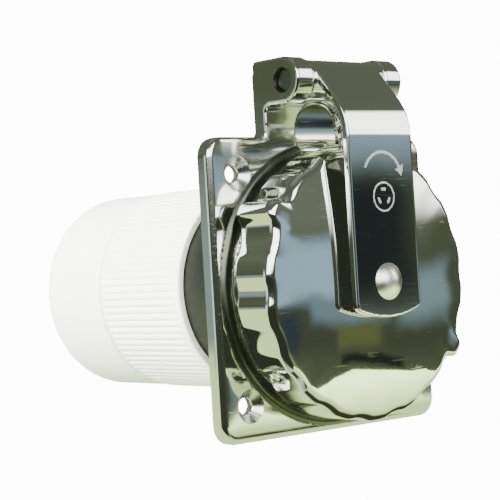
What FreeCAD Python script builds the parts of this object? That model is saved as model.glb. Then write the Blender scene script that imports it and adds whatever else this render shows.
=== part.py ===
import FreeCAD, Part
import os

import Sketcher
from FreeCAD import Placement, Rotation, Vector

# A panel-mounted power inlet: a square stainless flange with a hinged, turn-to-lock cap in front
# and a sleeve with a two-piece rear cover behind.
# Frame: the origin is on the inlet's axis in the plane of the flange's back face. The front is
# towards -Y, the cable leaves towards +Y, and the hinge is at the top, towards +Z.
# Places along Y are negative in front of the mounting face and positive behind it.

SIZES = {
    # Flange casting
    "flange_side": 92.0,
    "flange_depth": 5.0,
    "flange_corner": 6.0,
    "flange_round": 2.0,
    "flange_rim": 3.0,
    "screw_spacing": 69.85,
    "screw_hole": 2.6,
    "screw_sink": 5.2,
    "boss_outer": 44.2,
    "boss_inner": 43.2,
    "boss_front": -6.0,
    "boss_wall": 6.0,
    "body_bore": 31.3,
    # Hinge tower and pin
    "hinge_depth": -13.5,
    "hinge_height": 62.3,
    "knuckle": 7.0,
    "ear_outer": 22.4,
    "ear_inner": 15.2,
    "ear_foot": 53.4,
    "tower_foot": 40.0,
    "tower_top": 66.0,
    "scoop_width": 18.0,
    "scoop_foot": 44.2,
    "scoop_spring": 47.0,
    "scoop_depth": 2.2,
    "pin_radius": 3.6,
    "pin_length": 42.0,
    "pin_play": 0.05,
    # Gaskets and seals
    "gasket_thick": 1.6,
    "gasket_gap": 0.2,
    "gasket_eye": 38.5,
    "seal_thick": 1.0,
    "lid_gasket_front": -22.6,
    "lid_gasket_back": -20.4,
    "lid_gasket_inner": 33.8,
    # Front collar and its bayonet slots
    "collar_outer": 39.0,
    "collar_inner": 34.5,
    "collar_front": -20.0,
    "collar_back": -5.5,
    "collar_step": -8.0,
    "seat_play": 0.05,
    "overrun": 1.0,
    "slot_floor": 37.2,
    "slot_back": -10.6,
    "slot_lip": -17.4,
    "entry_half_angle": 8.0,
    "lock_angle": 30.0,
    "lock_margin": 6.0,
    # Strap
    "strap_width": 27.48,
    "strap_thick": 2.5,
    "strap_front": -31.4,
    "strap_joint": 36.0,
    "strap_corner": -7.9,
    "strap_end_radius": 34.0,
    "bend_radius": 9.0,
    "eye_radius": 6.25,
    "eye_width": 30.0,
    "slope_forward": 0.768,
    "slope_up": 0.640,
    # Cap
    "cap_radius": 42.4,
    "cap_inner": 40.4,
    "cap_rim": -9.0,
    "cap_skirt_end": -21.3,
    "cap_corner": 3.0,
    "cap_centre": -26.4,
    "cap_wall": 1.6,
    "scallop_radius": 14.0,
    "scallop_reach": 55.6,
    "scallop_count": 18.0,
    "scallop_phase": 1.0,
    "lug_angle": 148.0,
    "lug_reach": 45.4,
    "lug_half_width": 4.2,
    "lug_tip_half": 2.4,
    "lug_tip_radius": 6.0,
    "lug_root": 41.2,
    "lug_length": 13.0,
    "dimple_angle": 39.0,
    "dimple_depth": -14.0,
    "dimple_radius": 3.0,
    "dimple_tip": 37.8,
    "dimple_root": 41.0,
    "dimple_hollow": 3.4,
    "dimple_hollow_centre": 43.2,
    # Rivet and washers
    "rivet_shank": 2.5,
    "rivet_head": 5.6,
    "rivet_height": 2.6,
    "rivet_tail": 4.2,
    "rivet_end": -22.4,
    "washer_radius": 7.0,
    "washer_thick": 1.0,
    "turn_play": 0.1,
    # Body, nut and contacts
    "body_radius": 31.0,
    "body_shoulder": 34.2,
    "shoulder_front": -11.0,
    "body_inner": 28.0,
    "body_end": 55.6,
    "ledge_front": 16.0,
    "ledge_back": 19.0,
    "ledge_inner": 22.0,
    "nut_radius": 37.0,
    "nut_back": 6.0,
    "nut_notch": 3.0,
    "nut_notch_centre": 38.0,
    "nut_notch_depth": 2.5,
    "nut_notch_count": 8.0,
    "carrier_front": -4.0,
    "contact_circle": 15.5,
    "blade_thick": 2.4,
    "blade_front": -18.0,
    "blade_back": 17.0,
    "blade_angle": 44.0,
    "blade_slot_play": 0.25,
    "carrier_screw_circle": 25.0,
    "carrier_screw": 1.45,
    "carrier_screw_length": 22.5,
    "carrier_head": 2.6,
    "carrier_head_height": 1.8,
    "terminal_width": 9.0,
    "terminal_height": 8.0,
    "terminal_length": 14.0,
    "wire_bore": 3.0,
    "wire_bore_floor": 3.0,
    "terminal_screw": 1.75,
    "terminal_screw_place": 25.4,
    "terminal_screw_length": 1.5,
    "terminal_head": 2.6,
    "terminal_head_height": 1.6,
    # Rear cover
    "ring_radius": 33.6,
    "ring_front": 28.4,
    "ring_back": 71.3,
    "ring_inner": 31.08,
    "ring_lip": 64.3,
    "ring_lip_inner": 29.4,
    "rib_count": 90.0,
    "rib_depth": 0.45,
    "rib_cutter": 1.6,
    "rib_margin": 2.0,
    "cap_shell": 33.3,
    "cap_shell_front": 71.6,
    "cap_shell_back": 105.8,
    "cap_shell_round": 7.0,
    "cap_neck": 29.1,
    "cap_shoulder": 30.8,
    "cap_shoulder_front": 60.0,
    "cap_shoulder_back": 64.0,
    "cap_bore": 26.0,
    "cap_bore_end": 100.8,
    "seal_front": 55.8,
    "seal_back": 59.8,
    "seal_inner": 28.2,
    "cable_radius": 8.0,
    "grommet_waist": 12.0,
    "grommet_flange": 15.0,
    "grommet_front": 97.8,
    # Cable clamp
    "jaw_width": 40.0,
    "jaw_height": 12.5,
    "jaw_gap": 1.5,
    "jaw_front": 84.0,
    "jaw_length": 10.0,
    "jaw_bore": 8.5,
    "jaw_leg": 4.5,
    "jaw_leg_top": -3.5,
    "clamp_screw": 1.9,
    "clamp_screw_side": 15.5,
    "clamp_screw_length": 26.0,
    "clamp_head": 3.4,
    "clamp_head_height": 2.6,
}

# Blade angles and carrier screw angles, off +X and anticlockwise seen from the front.
CONTACTS = {"earth": 90, "line": 210, "neutral": 330}
CARRIER_SCREW_ANGLES = (30, 150, 270)

# Added to the radius of a half-turn or quarter-turn arc, so that its chord still fits it.
ARC_SLACK = 0.001

FRONT_VIEW = "XZ_Plane"
SIDE_VIEW = "YZ_Plane"
TOP_VIEW = "XY_Plane"


class Dim:
    """A size that keeps both its number and the sheet formula that it comes from."""

    def __init__(self, number, text=None):
        self.number = float(number)
        self.text = text or repr(float(number))

    def join(self, other, sign, number):
        return Dim(number, f"({self.text} {sign} {other.text})")

    def __add__(self, other):
        other = as_dim(other)
        return self.join(other, "+", self.number + other.number)

    def __sub__(self, other):
        other = as_dim(other)
        return self.join(other, "-", self.number - other.number)

    def __mul__(self, other):
        other = as_dim(other)
        return self.join(other, "*", self.number * other.number)

    def __truediv__(self, other):
        other = as_dim(other)
        return self.join(other, "/", self.number / other.number)

    def __neg__(self):
        return as_dim(0) - self


def as_dim(size):
    """A plain number counts as a size too."""
    return size if isinstance(size, Dim) else Dim(size)


class Sheet:
    """The driving dimensions, read by name: sizes.flange_side is a Dim."""

    def __init__(self, doc, rows):
        self.cells = doc.addObject("Spreadsheet::Sheet", "Sizes")
        for row, (alias, number) in enumerate(rows.items(), start=1):
            self.cells.set(f"A{row}", alias)
            self.cells.set(f"B{row}", str(number))
            self.cells.setAlias(f"B{row}", alias)
        doc.recompute()

    def __getattr__(self, alias):
        return Dim(self.cells.get(alias), f"Sizes.{alias}")


doc = FreeCAD.newDocument("PowerInlet")
sizes = Sheet(doc, SIZES)
nodes = []


def bind(thing, path, size):
    """Set a property of an object from the formula of a size."""
    thing.setExpression(path, as_dim(size).text)


# Sketches and features


def new_body(label):
    body = doc.addObject("PartDesign::Body", label)
    body.Label = label
    nodes.append(body)
    return body


def sketch_on(body, plane, offset=0, turn=None, about=Vector(0, 0, 1)):
    """A sketch on one of the body's origin planes, moved along its normal and turned in place."""
    sketch = body.newObject("Sketcher::SketchObject", f"{body.Label}_sketch")
    support = [item for item in body.Origin.OriginFeatures if item.Role == plane][0]
    sketch.AttachmentSupport = [(support, "")]
    sketch.MapMode = "FlatFace"
    angle = as_dim(0 if turn is None else turn).number
    sketch.AttachmentOffset = Placement(Vector(0, 0, as_dim(offset).number), Rotation(about, angle))
    bind(sketch, "AttachmentOffset.Base.z", offset)
    return sketch


def fix_point(sketch, line, end, point):
    """Hold a vertex at its place in the sketch, each coordinate by its own formula."""
    for kind, axis, place in (("DistanceX", -2, point[0]), ("DistanceY", -1, point[1])):
        place = as_dim(place)
        if abs(place.number) < 1e-9:
            sketch.addConstraint(Sketcher.Constraint("PointOnObject", line, end, axis))
            continue
        ends = (-1, 1, line, end) if place.number > 0 else (line, end, -1, 1)
        place = place if place.number > 0 else -place
        index = sketch.addConstraint(Sketcher.Constraint(kind, *ends, place.number))
        bind(sketch, f"Constraints[{index}]", place)


def flat(point):
    return Vector(as_dim(point[0]).number, as_dim(point[1]).number, 0)


def arc_between(start, end, radius, side):
    """The arc under half a turn between two points that bulges left (1) or right (-1).

    It always runs anticlockwise, so one that bulges left goes from end to start.
    """
    middle = (start + end) / 2
    along = end - start
    across = Vector(-along.y, along.x, 0) / along.Length
    drop = max(radius ** 2 - (along.Length / 2) ** 2, 0) ** 0.5
    peak = middle + across * side * (radius - drop)
    return Part.Arc(start, peak, end) if side < 0 else Part.Arc(end, peak, start)


def axis_radius(start, end):
    """Radius of the arc through two points whose centre is on the sketch's horizontal axis."""
    centre = (end.x ** 2 + end.y ** 2 - start.x ** 2 - start.y ** 2) / (2 * (end.x - start.x))
    return ((end.x - centre) ** 2 + end.y ** 2) ** 0.5


def outline(sketch, points, arcs=None):
    """A closed outline through points; arcs maps a side's number to its (radius, bulge side).

    An arc with no radius has its centre on the horizontal axis, so that it turns into a sphere.
    """
    arcs = arcs or {}
    count = len(points)
    starts = []
    for number, point in enumerate(points):
        start = flat(point)
        end = flat(points[(number + 1) % count])
        if number in arcs:
            radius, side = arcs[number]
            bend = axis_radius(start, end) if radius is None else as_dim(radius).number
            line = sketch.addGeometry(arc_between(start, end, bend, side))
            if radius is None:
                sketch.addConstraint(Sketcher.Constraint("PointOnObject", line, 3, -1))
            else:
                index = sketch.addConstraint(Sketcher.Constraint("Radius", line, bend))
                bind(sketch, f"Constraints[{index}]", radius)
            starts.append((line, 1, 2) if side < 0 else (line, 2, 1))
        else:
            line = sketch.addGeometry(Part.LineSegment(start, end))
            starts.append((line, 1, 2))
    for number, (line, _, tail) in enumerate(starts):
        after, after_head, _ = starts[(number + 1) % count]
        sketch.addConstraint(Sketcher.Constraint("Coincident", line, tail, after, after_head))
    for (line, head, _), point in zip(starts, points):
        fix_point(sketch, line, head, point)


def rectangle(sketch, low, high):
    outline(sketch, [low, (high[0], low[1]), high, (low[0], high[1])])


def circle(sketch, centre, radius):
    radius = as_dim(radius)
    line = sketch.addGeometry(Part.Circle(flat(centre), Vector(0, 0, 1), radius.number))
    index = sketch.addConstraint(Sketcher.Constraint("Radius", line, radius.number))
    bind(sketch, f"Constraints[{index}]", radius)
    fix_point(sketch, line, 3, centre)


def feature(body, kind, sketch, **settings):
    """A sketch-based feature; Dim settings are bound to the sheet."""
    made = body.newObject(f"PartDesign::{kind}", f"{body.Label}_{kind.lower()}")
    made.Profile = sketch
    for name, setting in settings.items():
        if isinstance(setting, Dim):
            bind(made, name, setting)
        else:
            setattr(made, name, setting)
    sketch.Visibility = False
    return made


def pad(body, sketch, length, **settings):
    return feature(body, "Pad", sketch, Length=as_dim(length), **settings)


def pocket(body, sketch, length, **settings):
    """A cut, checked to have taken material away."""
    doc.recompute()
    before = body.Shape.Volume
    made = feature(body, "Pocket", sketch, Length=as_dim(length), **settings)
    doc.recompute()
    assert body.Shape.Volume < before - 1e-3, f"{body.Label}: a pocket cuts nothing"
    return made


def revolve(body, sketch, angle=360):
    """Turn a side-view profile about the inlet's axis."""
    return feature(body, "Revolution", sketch, ReferenceAxis=(sketch, ["H_Axis"]), Angle=as_dim(angle))


def groove(body, sketch, angle=360):
    """Cut with a side-view profile turned about the inlet's axis, checked by volume."""
    doc.recompute()
    before = body.Shape.Volume
    made = feature(body, "Groove", sketch, ReferenceAxis=(sketch, ["H_Axis"]), Angle=as_dim(angle))
    doc.recompute()
    assert body.Shape.Volume < before - 1e-3, f"{body.Label}: a groove cuts nothing"
    return made


def polar(body, cut, sketch, count):
    """Repeat a cut round the inlet's axis."""
    pattern = body.newObject("PartDesign::PolarPattern", f"{body.Label}_pattern")
    pattern.Originals = [cut]
    pattern.Axis = (sketch, ["N_Axis"])
    pattern.Angle = 360
    bind(pattern, "Occurrences", count)
    body.Tip = pattern
    doc.recompute()
    return pattern


def fillet(body, radius, chosen):
    """Round the edges that a test picks."""
    doc.recompute()
    base = body.Tip
    edges = [f"Edge{number}" for number, edge in enumerate(base.Shape.Edges, start=1) if chosen(edge)]
    made = body.newObject("PartDesign::Fillet", f"{body.Label}_round")
    made.Base = (base, edges)
    bind(made, "Radius", radius)
    doc.recompute()
    return made


def ring_body(label, front, back, inner, outer):
    """A plain turned ring."""
    body = new_body(label)
    sketch = sketch_on(body, SIDE_VIEW)
    rectangle(sketch, (front, inner), (back, outer))
    revolve(body, sketch)
    return body


def profile_body(label, points, arcs=None):
    """A turned part from its profile of (place along Y, radius) points."""
    body = new_body(label)
    sketch = sketch_on(body, SIDE_VIEW)
    outline(sketch, points, arcs)
    revolve(body, sketch)
    return body


def ring_sector(body, operation, front, back, inner, outer, from_angle, span):
    """A sector of a ring that runs clockwise, seen from the front, from an angle off +X."""
    sketch = sketch_on(body, SIDE_VIEW, turn=as_dim(90) - from_angle, about=Vector(1, 0, 0))
    rectangle(sketch, (front, inner), (back, outer))
    return operation(body, sketch, span)


def parallel(edge, direction):
    run = edge.lastVertex().Point - edge.firstVertex().Point
    return run.Length > 0.1 and abs(abs(run.normalize().dot(direction)) - 1) < 1e-6


def radial_turn(angle):
    """The turn that points +Z away from the inlet's axis, at an angle off +X."""
    return Rotation(Vector(0, 1, 0), 90 - as_dim(angle).number)


def solid_part(label, shape, place=None):
    """A part given by its finished shape, with its own placement."""
    part = doc.addObject("Part::Feature", label)
    part.Label = label
    part.Shape = shape
    part.Placement = place or Placement()
    nodes.append(part)
    return part


# Flange casting, its gasket and the collar inside the cap


def mounting_flange():
    """Square plate, round boss, hinge tower with two ears, and four countersunk screw holes."""
    s = sizes
    body = new_body("mounting_flange")
    half = s.flange_side / 2
    plate = sketch_on(body, FRONT_VIEW)
    rectangle(plate, (-half, -half), (half, half))
    pad(body, plate, s.flange_depth)
    fillet(body, s.flange_corner, lambda edge: parallel(edge, Vector(0, 1, 0)))
    front = -s.flange_depth.number
    fillet(body, s.flange_round, lambda edge: abs(edge.BoundBox.YMax - front) < 1e-6)

    boss = sketch_on(body, SIDE_VIEW)
    inside = s.boss_inner - s.boss_wall
    root = -s.flange_depth + s.overrun
    outline(boss, [(s.boss_front, inside), (s.boss_front, s.boss_inner), (-s.flange_depth, s.boss_outer),
                   (root, s.boss_outer), (root, inside)])
    revolve(body, boss)

    tower = sketch_on(body, FRONT_VIEW)
    rectangle(tower, (-s.ear_outer, s.tower_foot), (s.ear_outer, s.tower_top))
    pad(body, tower, s.flange_depth)
    for inner_face in (s.ear_inner, -s.ear_outer):
        ear = sketch_on(body, SIDE_VIEW, offset=inner_face)
        top = s.hinge_height + s.knuckle
        foot = s.hinge_height - s.knuckle
        outline(
            ear,
            [(0, s.tower_foot), (0, top), (s.hinge_depth, top), (s.hinge_depth, foot),
             (-s.flange_depth, s.ear_foot), (-s.flange_depth, s.tower_foot)],
            {2: (s.knuckle + ARC_SLACK, -1)},
        )
        pad(body, ear, s.ear_outer - s.ear_inner)

    scoop = sketch_on(body, FRONT_VIEW, offset=s.flange_depth)
    side = s.scoop_width / 2
    outline(scoop, [(-side, s.scoop_foot), (side, s.scoop_foot), (side, s.scoop_spring),
                    (-side, s.scoop_spring)], {2: (side + ARC_SLACK, -1)})
    pocket(body, scoop, s.scoop_depth)

    eye = sketch_on(body, SIDE_VIEW)
    circle(eye, (s.hinge_depth, s.hinge_height), s.pin_radius + s.pin_play)
    pocket(body, eye, s.flange_side, Midplane=True)

    bore = sketch_on(body, FRONT_VIEW)
    circle(bore, (0, 0), s.body_bore)
    pocket(body, bore, s.flange_side, Midplane=True)
    seat = sketch_on(body, SIDE_VIEW)
    rectangle(seat, (s.boss_front - s.overrun, s.body_bore - s.overrun),
              (s.collar_back, s.collar_outer + s.seat_play))
    groove(body, seat)

    recess = sketch_on(body, FRONT_VIEW)
    inside = half - s.flange_rim
    rectangle(recess, (-inside, -inside), (inside, inside))
    pocket(body, recess, s.gasket_thick, Reversed=True)

    holes = sketch_on(body, FRONT_VIEW)
    corner = s.screw_spacing / 2
    sink_depth = s.screw_sink - s.screw_hole
    for x in (-corner, corner):
        for z in (-corner, corner):
            circle(holes, (x, z), s.screw_hole)
    pocket(body, holes, s.flange_side, Midplane=True)
    for x in (-corner, corner):
        for z in (-corner, corner):
            sink = body.newObject("PartDesign::SubtractiveCone", "countersink")
            sink.Placement = Placement(
                Vector(x.number, -s.flange_depth.number, z.number), Rotation(Vector(1, 0, 0), -90))
            bind(sink, "Radius1", s.screw_sink)
            bind(sink, "Radius2", s.screw_hole)
            bind(sink, "Height", sink_depth)
            bind(sink, "Placement.Base.x", x)
            bind(sink, "Placement.Base.y", -s.flange_depth)
            bind(sink, "Placement.Base.z", z)


def flange_gasket():
    s = sizes
    body = new_body("flange_gasket")
    side = s.flange_side / 2 - s.flange_rim - s.gasket_gap
    sheet = sketch_on(body, FRONT_VIEW)
    rectangle(sheet, (-side, -side), (side, side))
    circle(sheet, (0, 0), s.gasket_eye)
    corner = s.screw_spacing / 2
    for x in (-corner, corner):
        for z in (-corner, corner):
            circle(sheet, (x, z), s.screw_hole)
    pad(body, sheet, s.gasket_thick)


def front_collar():
    """Collar that the cap locks on, with two L-shaped slots for the cap's dimples."""
    s = sizes
    body = profile_body("front_collar", [
        (s.collar_front, s.collar_inner), (s.collar_front, s.collar_outer), (s.collar_back, s.collar_outer),
        (s.collar_back, s.body_bore), (s.collar_step, s.body_bore), (s.collar_step, s.collar_inner)])
    for half_turn in (0, 180):
        start = s.dimple_angle + s.entry_half_angle + half_turn
        span = s.entry_half_angle * 2
        leg = s.entry_half_angle + s.lock_angle + s.lock_margin
        reach = s.collar_outer + s.overrun
        ring_sector(body, groove, s.collar_front - s.overrun, s.slot_back, s.slot_floor, reach, start, span)
        ring_sector(body, groove, s.slot_lip, s.slot_back, s.slot_floor, reach, start, leg)


# Hinge and cap


def hinge_pin():
    s = sizes
    body = new_body("hinge_pin")
    section = sketch_on(body, SIDE_VIEW)
    circle(section, (s.hinge_depth, s.hinge_height), s.pin_radius)
    pad(body, section, s.pin_length, Midplane=True)


def lid_arm():
    """Bent strap: an eye rolled round the pin, a slope, a bend and a flat run over the cap."""
    s = sizes
    body = new_body("lid_arm")
    back = s.strap_front + s.strap_thick
    outer = (s.hinge_depth - s.eye_radius * s.slope_forward, s.hinge_height + s.eye_radius * s.slope_up)
    inner_radius = s.eye_radius - s.strap_thick
    inner = (s.hinge_depth - inner_radius * s.slope_forward, s.hinge_height + inner_radius * s.slope_up)
    drop = s.slope_forward / s.slope_up
    outer_bend = outer[1] + (s.strap_front - outer[0]) * drop
    inner_bend = inner[1] + (back - inner[0]) * drop
    bent = sketch_on(body, SIDE_VIEW)
    outline(bent, [outer, (s.strap_front, outer_bend), (s.strap_front, s.strap_joint),
                   (back, s.strap_joint), (back, inner_bend), inner])
    pad(body, bent, s.strap_width, Midplane=True)
    fillet(body, s.bend_radius, lambda edge: parallel(edge, Vector(1, 0, 0))
           and abs(edge.BoundBox.ZMin - outer_bend.number) < 1e-3)
    fillet(body, s.bend_radius - s.strap_thick, lambda edge: parallel(edge, Vector(1, 0, 0))
           and abs(edge.BoundBox.ZMin - inner_bend.number) < 1e-3)

    eye = sketch_on(body, SIDE_VIEW)
    circle(eye, (s.hinge_depth, s.hinge_height), s.eye_radius)
    pad(body, eye, s.eye_width, Midplane=True)
    run = sketch_on(body, FRONT_VIEW, offset=-back)
    side = s.strap_width / 2
    outline(run, [(-side, s.strap_corner), (side, s.strap_corner), (side, s.strap_joint),
                  (-side, s.strap_joint)], {0: (s.strap_end_radius, -1)})
    pad(body, run, s.strap_thick)
    bore = sketch_on(body, SIDE_VIEW)
    circle(bore, (s.hinge_depth, s.hinge_height), s.pin_radius + s.pin_play)
    pocket(body, bore, s.flange_side, Midplane=True)
    hole = sketch_on(body, FRONT_VIEW)
    circle(hole, (0, 0), s.rivet_shank + s.pin_play)
    pocket(body, hole, s.flange_side, Midplane=True)


def rivet_parts():
    """Domed rivet, the spacer between strap and cap, and the washer under the rivet's tail."""
    s = sizes
    back = s.strap_front + s.strap_thick
    inside = s.cap_centre + s.cap_wall + s.turn_play
    tail = inside + s.washer_thick
    profile_body("lid_rivet", [
        (s.strap_front - s.rivet_height, 0), (s.strap_front, s.rivet_head), (s.strap_front, s.rivet_shank),
        (tail, s.rivet_shank), (tail, s.rivet_tail), (s.rivet_end, s.rivet_tail), (s.rivet_end, 0)],
        {0: (None, 1)})
    hole = s.rivet_shank + s.pin_play
    ring_body("arm_washer", back, s.cap_centre - s.turn_play, hole, s.washer_radius)
    ring_body("rivet_washer", inside, tail, hole, s.washer_radius)


def lid_cap():
    """Drawn cap: shallow dome, scalloped skirt, two thumb lugs and two pressed-in dimples."""
    s = sizes
    edge = s.cap_radius - s.cap_corner
    shoulder = s.cap_skirt_end - s.cap_corner
    hole = s.rivet_shank + s.turn_play
    inner_corner = s.cap_corner - s.cap_wall
    inner_edge = s.cap_inner - inner_corner
    body = profile_body("lid_cap", [
        (s.cap_rim, s.cap_inner), (s.cap_rim, s.cap_radius), (s.cap_skirt_end, s.cap_radius),
        (shoulder, edge), (s.cap_centre, hole), (s.cap_centre + s.cap_wall, hole),
        (s.cap_skirt_end - inner_corner, inner_edge), (s.cap_skirt_end, s.cap_inner)],
        {2: (s.cap_corner + ARC_SLACK, -1), 3: (None, -1), 5: (None, 1), 6: (inner_corner + ARC_SLACK, 1)})
    flute = sketch_on(body, FRONT_VIEW, offset=-s.cap_skirt_end + s.cap_corner, turn=s.scallop_phase)
    circle(flute, (s.scallop_reach, 0), s.scallop_radius)
    cut = pocket(body, flute, s.cap_radius)
    polar(body, cut, flute, s.scallop_count)

    for half_turn in (0, 180):
        lug = sketch_on(body, FRONT_VIEW, offset=-s.cap_rim, turn=s.lug_angle + half_turn)
        outline(lug, [(s.lug_root, -s.lug_half_width), (s.lug_reach, -s.lug_tip_half),
                      (s.lug_reach, s.lug_tip_half), (s.lug_root, s.lug_half_width)],
                {1: (s.lug_tip_radius, -1)})
        pad(body, lug, s.lug_length)
        radial = radial_turn(s.dimple_angle + half_turn)
        outward = radial.multVec(Vector(0, 0, 1))
        centre = Vector(0, s.dimple_depth.number, 0)
        boss = body.newObject("PartDesign::AdditiveCylinder", "dimple_boss")
        bind(boss, "Radius", s.dimple_radius)
        bind(boss, "Height", s.dimple_root - s.dimple_tip)
        boss.Placement = Placement(centre + outward * s.dimple_tip.number, radial)
        hollow = body.newObject("PartDesign::SubtractiveSphere", "dimple_hollow")
        bind(hollow, "Radius", s.dimple_hollow)
        hollow.Placement = Placement(centre + outward * s.dimple_hollow_centre.number, radial)


def lid_gasket():
    s = sizes
    ring_body("lid_gasket", s.lid_gasket_front, s.lid_gasket_back, s.lid_gasket_inner, s.collar_outer)


# Body and contacts


def carrier_screw_holes(sketch):
    """Circles for the carrier's screws in a front view."""
    for angle in CARRIER_SCREW_ANGLES:
        spot = Rotation(Vector(0, 0, 1), angle).multVec(Vector(1, 0, 0))
        circle(sketch, (sizes.carrier_screw_circle * spot.x, sizes.carrier_screw_circle * spot.y),
               sizes.carrier_screw + sizes.seat_play)


def inlet_body():
    """Moulded sleeve through the flange, with a front shoulder and an inner ledge for the carrier."""
    s = sizes
    behind = s.collar_step - s.seal_thick - s.seat_play
    body = profile_body("inlet_body", [
        (s.shoulder_front, s.body_inner), (s.shoulder_front, s.body_shoulder), (behind, s.body_shoulder),
        (behind, s.body_radius), (s.body_end, s.body_radius), (s.body_end, s.body_inner),
        (s.ledge_back, s.body_inner), (s.ledge_back, s.ledge_inner), (s.ledge_front, s.ledge_inner),
        (s.ledge_front, s.body_inner)])
    holes = sketch_on(body, FRONT_VIEW)
    carrier_screw_holes(holes)
    pocket(body, holes, s.body_end * 2, Midplane=True)


def body_fittings():
    """Seal under the body's shoulder and the notched nut that pulls the body on to the flange."""
    s = sizes
    ring_body("body_seal", s.collar_step - s.seal_thick, s.collar_step, s.body_bore + s.seat_play,
              s.body_shoulder - s.seat_play)
    front = -s.gasket_thick
    body = ring_body("body_nut", front, s.nut_back, s.body_radius + s.seat_play, s.nut_radius)
    notch = sketch_on(body, FRONT_VIEW, offset=-s.nut_back)
    circle(notch, (s.nut_notch_centre, 0), s.nut_notch)
    cut = pocket(body, notch, s.nut_notch_depth * 2, Midplane=True)
    polar(body, cut, notch, s.nut_notch_count)


def contact_carrier():
    """Insulating insert with a curved slot for each blade and three countersunk screw holes."""
    s = sizes
    body = new_body("contact_carrier")
    disc = sketch_on(body, FRONT_VIEW, offset=-s.ledge_front + s.seat_play)
    circle(disc, (0, 0), s.body_inner - s.pin_play)
    carrier_screw_holes(disc)
    pad(body, disc, s.ledge_front - s.seat_play - s.carrier_front)
    inner = s.contact_circle - s.blade_thick / 2
    for angle in CONTACTS.values():
        ring_sector(body, groove, s.carrier_front - s.overrun, s.ledge_front + s.overrun,
                    inner - s.seat_play, inner + s.blade_thick + s.seat_play,
                    s.blade_angle / 2 + s.blade_slot_play + angle, s.blade_angle + s.blade_slot_play * 2)


def blades():
    """Three curved contact blades that stand out of the carrier into the plug's space."""
    s = sizes
    inner = s.contact_circle - s.blade_thick / 2
    for name, angle in CONTACTS.items():
        body = new_body(f"{name}_blade")
        ring_sector(body, revolve, s.blade_front, s.blade_back, inner, inner + s.blade_thick,
                    s.blade_angle / 2 + angle, s.blade_angle)


def terminals():
    """A brass block behind each blade, with a bore for the wire and a hole for its screw."""
    s = sizes
    half = s.terminal_width / 2
    low = s.contact_circle - s.terminal_height / 2
    for name, angle in CONTACTS.items():
        body = new_body(f"{name}_terminal")
        block = sketch_on(body, FRONT_VIEW, offset=-s.blade_back, turn=angle)
        rectangle(block, (low, -half), (low + s.terminal_height, half))
        pad(body, block, s.terminal_length, Reversed=True)
        bore = sketch_on(body, FRONT_VIEW, offset=-s.blade_back - s.terminal_length, turn=angle)
        circle(bore, (s.contact_circle, 0), s.wire_bore)
        pocket(body, bore, s.terminal_length - s.wire_bore_floor, Reversed=True)
        outward = radial_turn(angle)
        thread = body.newObject("PartDesign::SubtractiveCylinder", "screw_thread")
        bind(thread, "Radius", s.terminal_screw + s.seat_play)
        bind(thread, "Height", s.terminal_height)
        middle = Vector(0, s.terminal_screw_place.number, 0)
        thread.Placement = Placement(middle + outward.multVec(Vector(0, 0, s.contact_circle.number)), outward)


def screw_group(label, screws):
    """One node of separate identical screws: each is (place, direction, shank, length, head, height)."""
    solids = []
    for place, direction, *dims in screws:
        shank, length, head, height = (dim.number for dim in dims)
        stem = Part.makeCylinder(shank, length, place, direction)
        cap = Part.makeCylinder(head, height, place - direction * height, direction)
        slot = Part.makeBox(head * 2, head / 3, height / 2, Vector(-head, -head / 6, 0))
        slot.Placement = Placement(place - direction * height, Rotation(Vector(0, 0, 1), direction))
        solids.append(stem.fuse(cap).removeSplitter().cut(slot))
    return solid_part(label, Part.makeCompound(solids))


# Rear cover


def locking_ring():
    """Ribbed ring that screws on to the body and holds the end cap by its shoulder."""
    s = sizes
    body = profile_body("locking_ring", [
        (s.ring_front, s.ring_inner), (s.ring_front, s.ring_radius), (s.ring_back, s.ring_radius),
        (s.ring_back, s.ring_lip_inner), (s.ring_lip, s.ring_lip_inner), (s.ring_lip, s.ring_inner)])
    flute = sketch_on(body, FRONT_VIEW, offset=-s.ring_back)
    circle(flute, (s.ring_radius + s.rib_cutter - s.rib_depth, 0), s.rib_cutter)
    cut = pocket(body, flute, (s.ring_back - s.ring_front - s.rib_margin) * 2, Midplane=True)
    polar(body, cut, flute, s.rib_count)


def rear_cap():
    """Smooth end cap: a shoulder inside the ring, a neck, a shell and a rear wall with the cable hole."""
    s = sizes
    body = profile_body("rear_cap", [
        (s.cap_shoulder_front, s.cap_bore), (s.cap_shoulder_front, s.cap_shoulder),
        (s.cap_shoulder_back, s.cap_shoulder), (s.cap_shoulder_back, s.cap_neck),
        (s.cap_shell_front, s.cap_neck), (s.cap_shell_front, s.cap_shell), (s.cap_shell_back, s.cap_shell),
        (s.cap_shell_back, s.grommet_waist + s.seat_play), (s.cap_bore_end, s.grommet_waist + s.seat_play),
        (s.cap_bore_end, s.cap_bore)])
    rear = s.cap_shell_back.number
    fillet(body, s.cap_shell_round, lambda edge: abs(edge.BoundBox.YMin - rear) < 1e-6
           and edge.BoundBox.XLength > s.cap_shell.number)


def rear_fittings():
    s = sizes
    ring_body("rear_seal", s.seal_front, s.seal_back, s.seal_inner, s.cap_shoulder)
    profile_body("cable_grommet", [
        (s.grommet_front, s.cable_radius), (s.grommet_front, s.grommet_flange),
        (s.cap_bore_end, s.grommet_flange), (s.cap_bore_end, s.grommet_waist),
        (s.cap_shell_back, s.grommet_waist), (s.cap_shell_back, s.cable_radius)])


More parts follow.
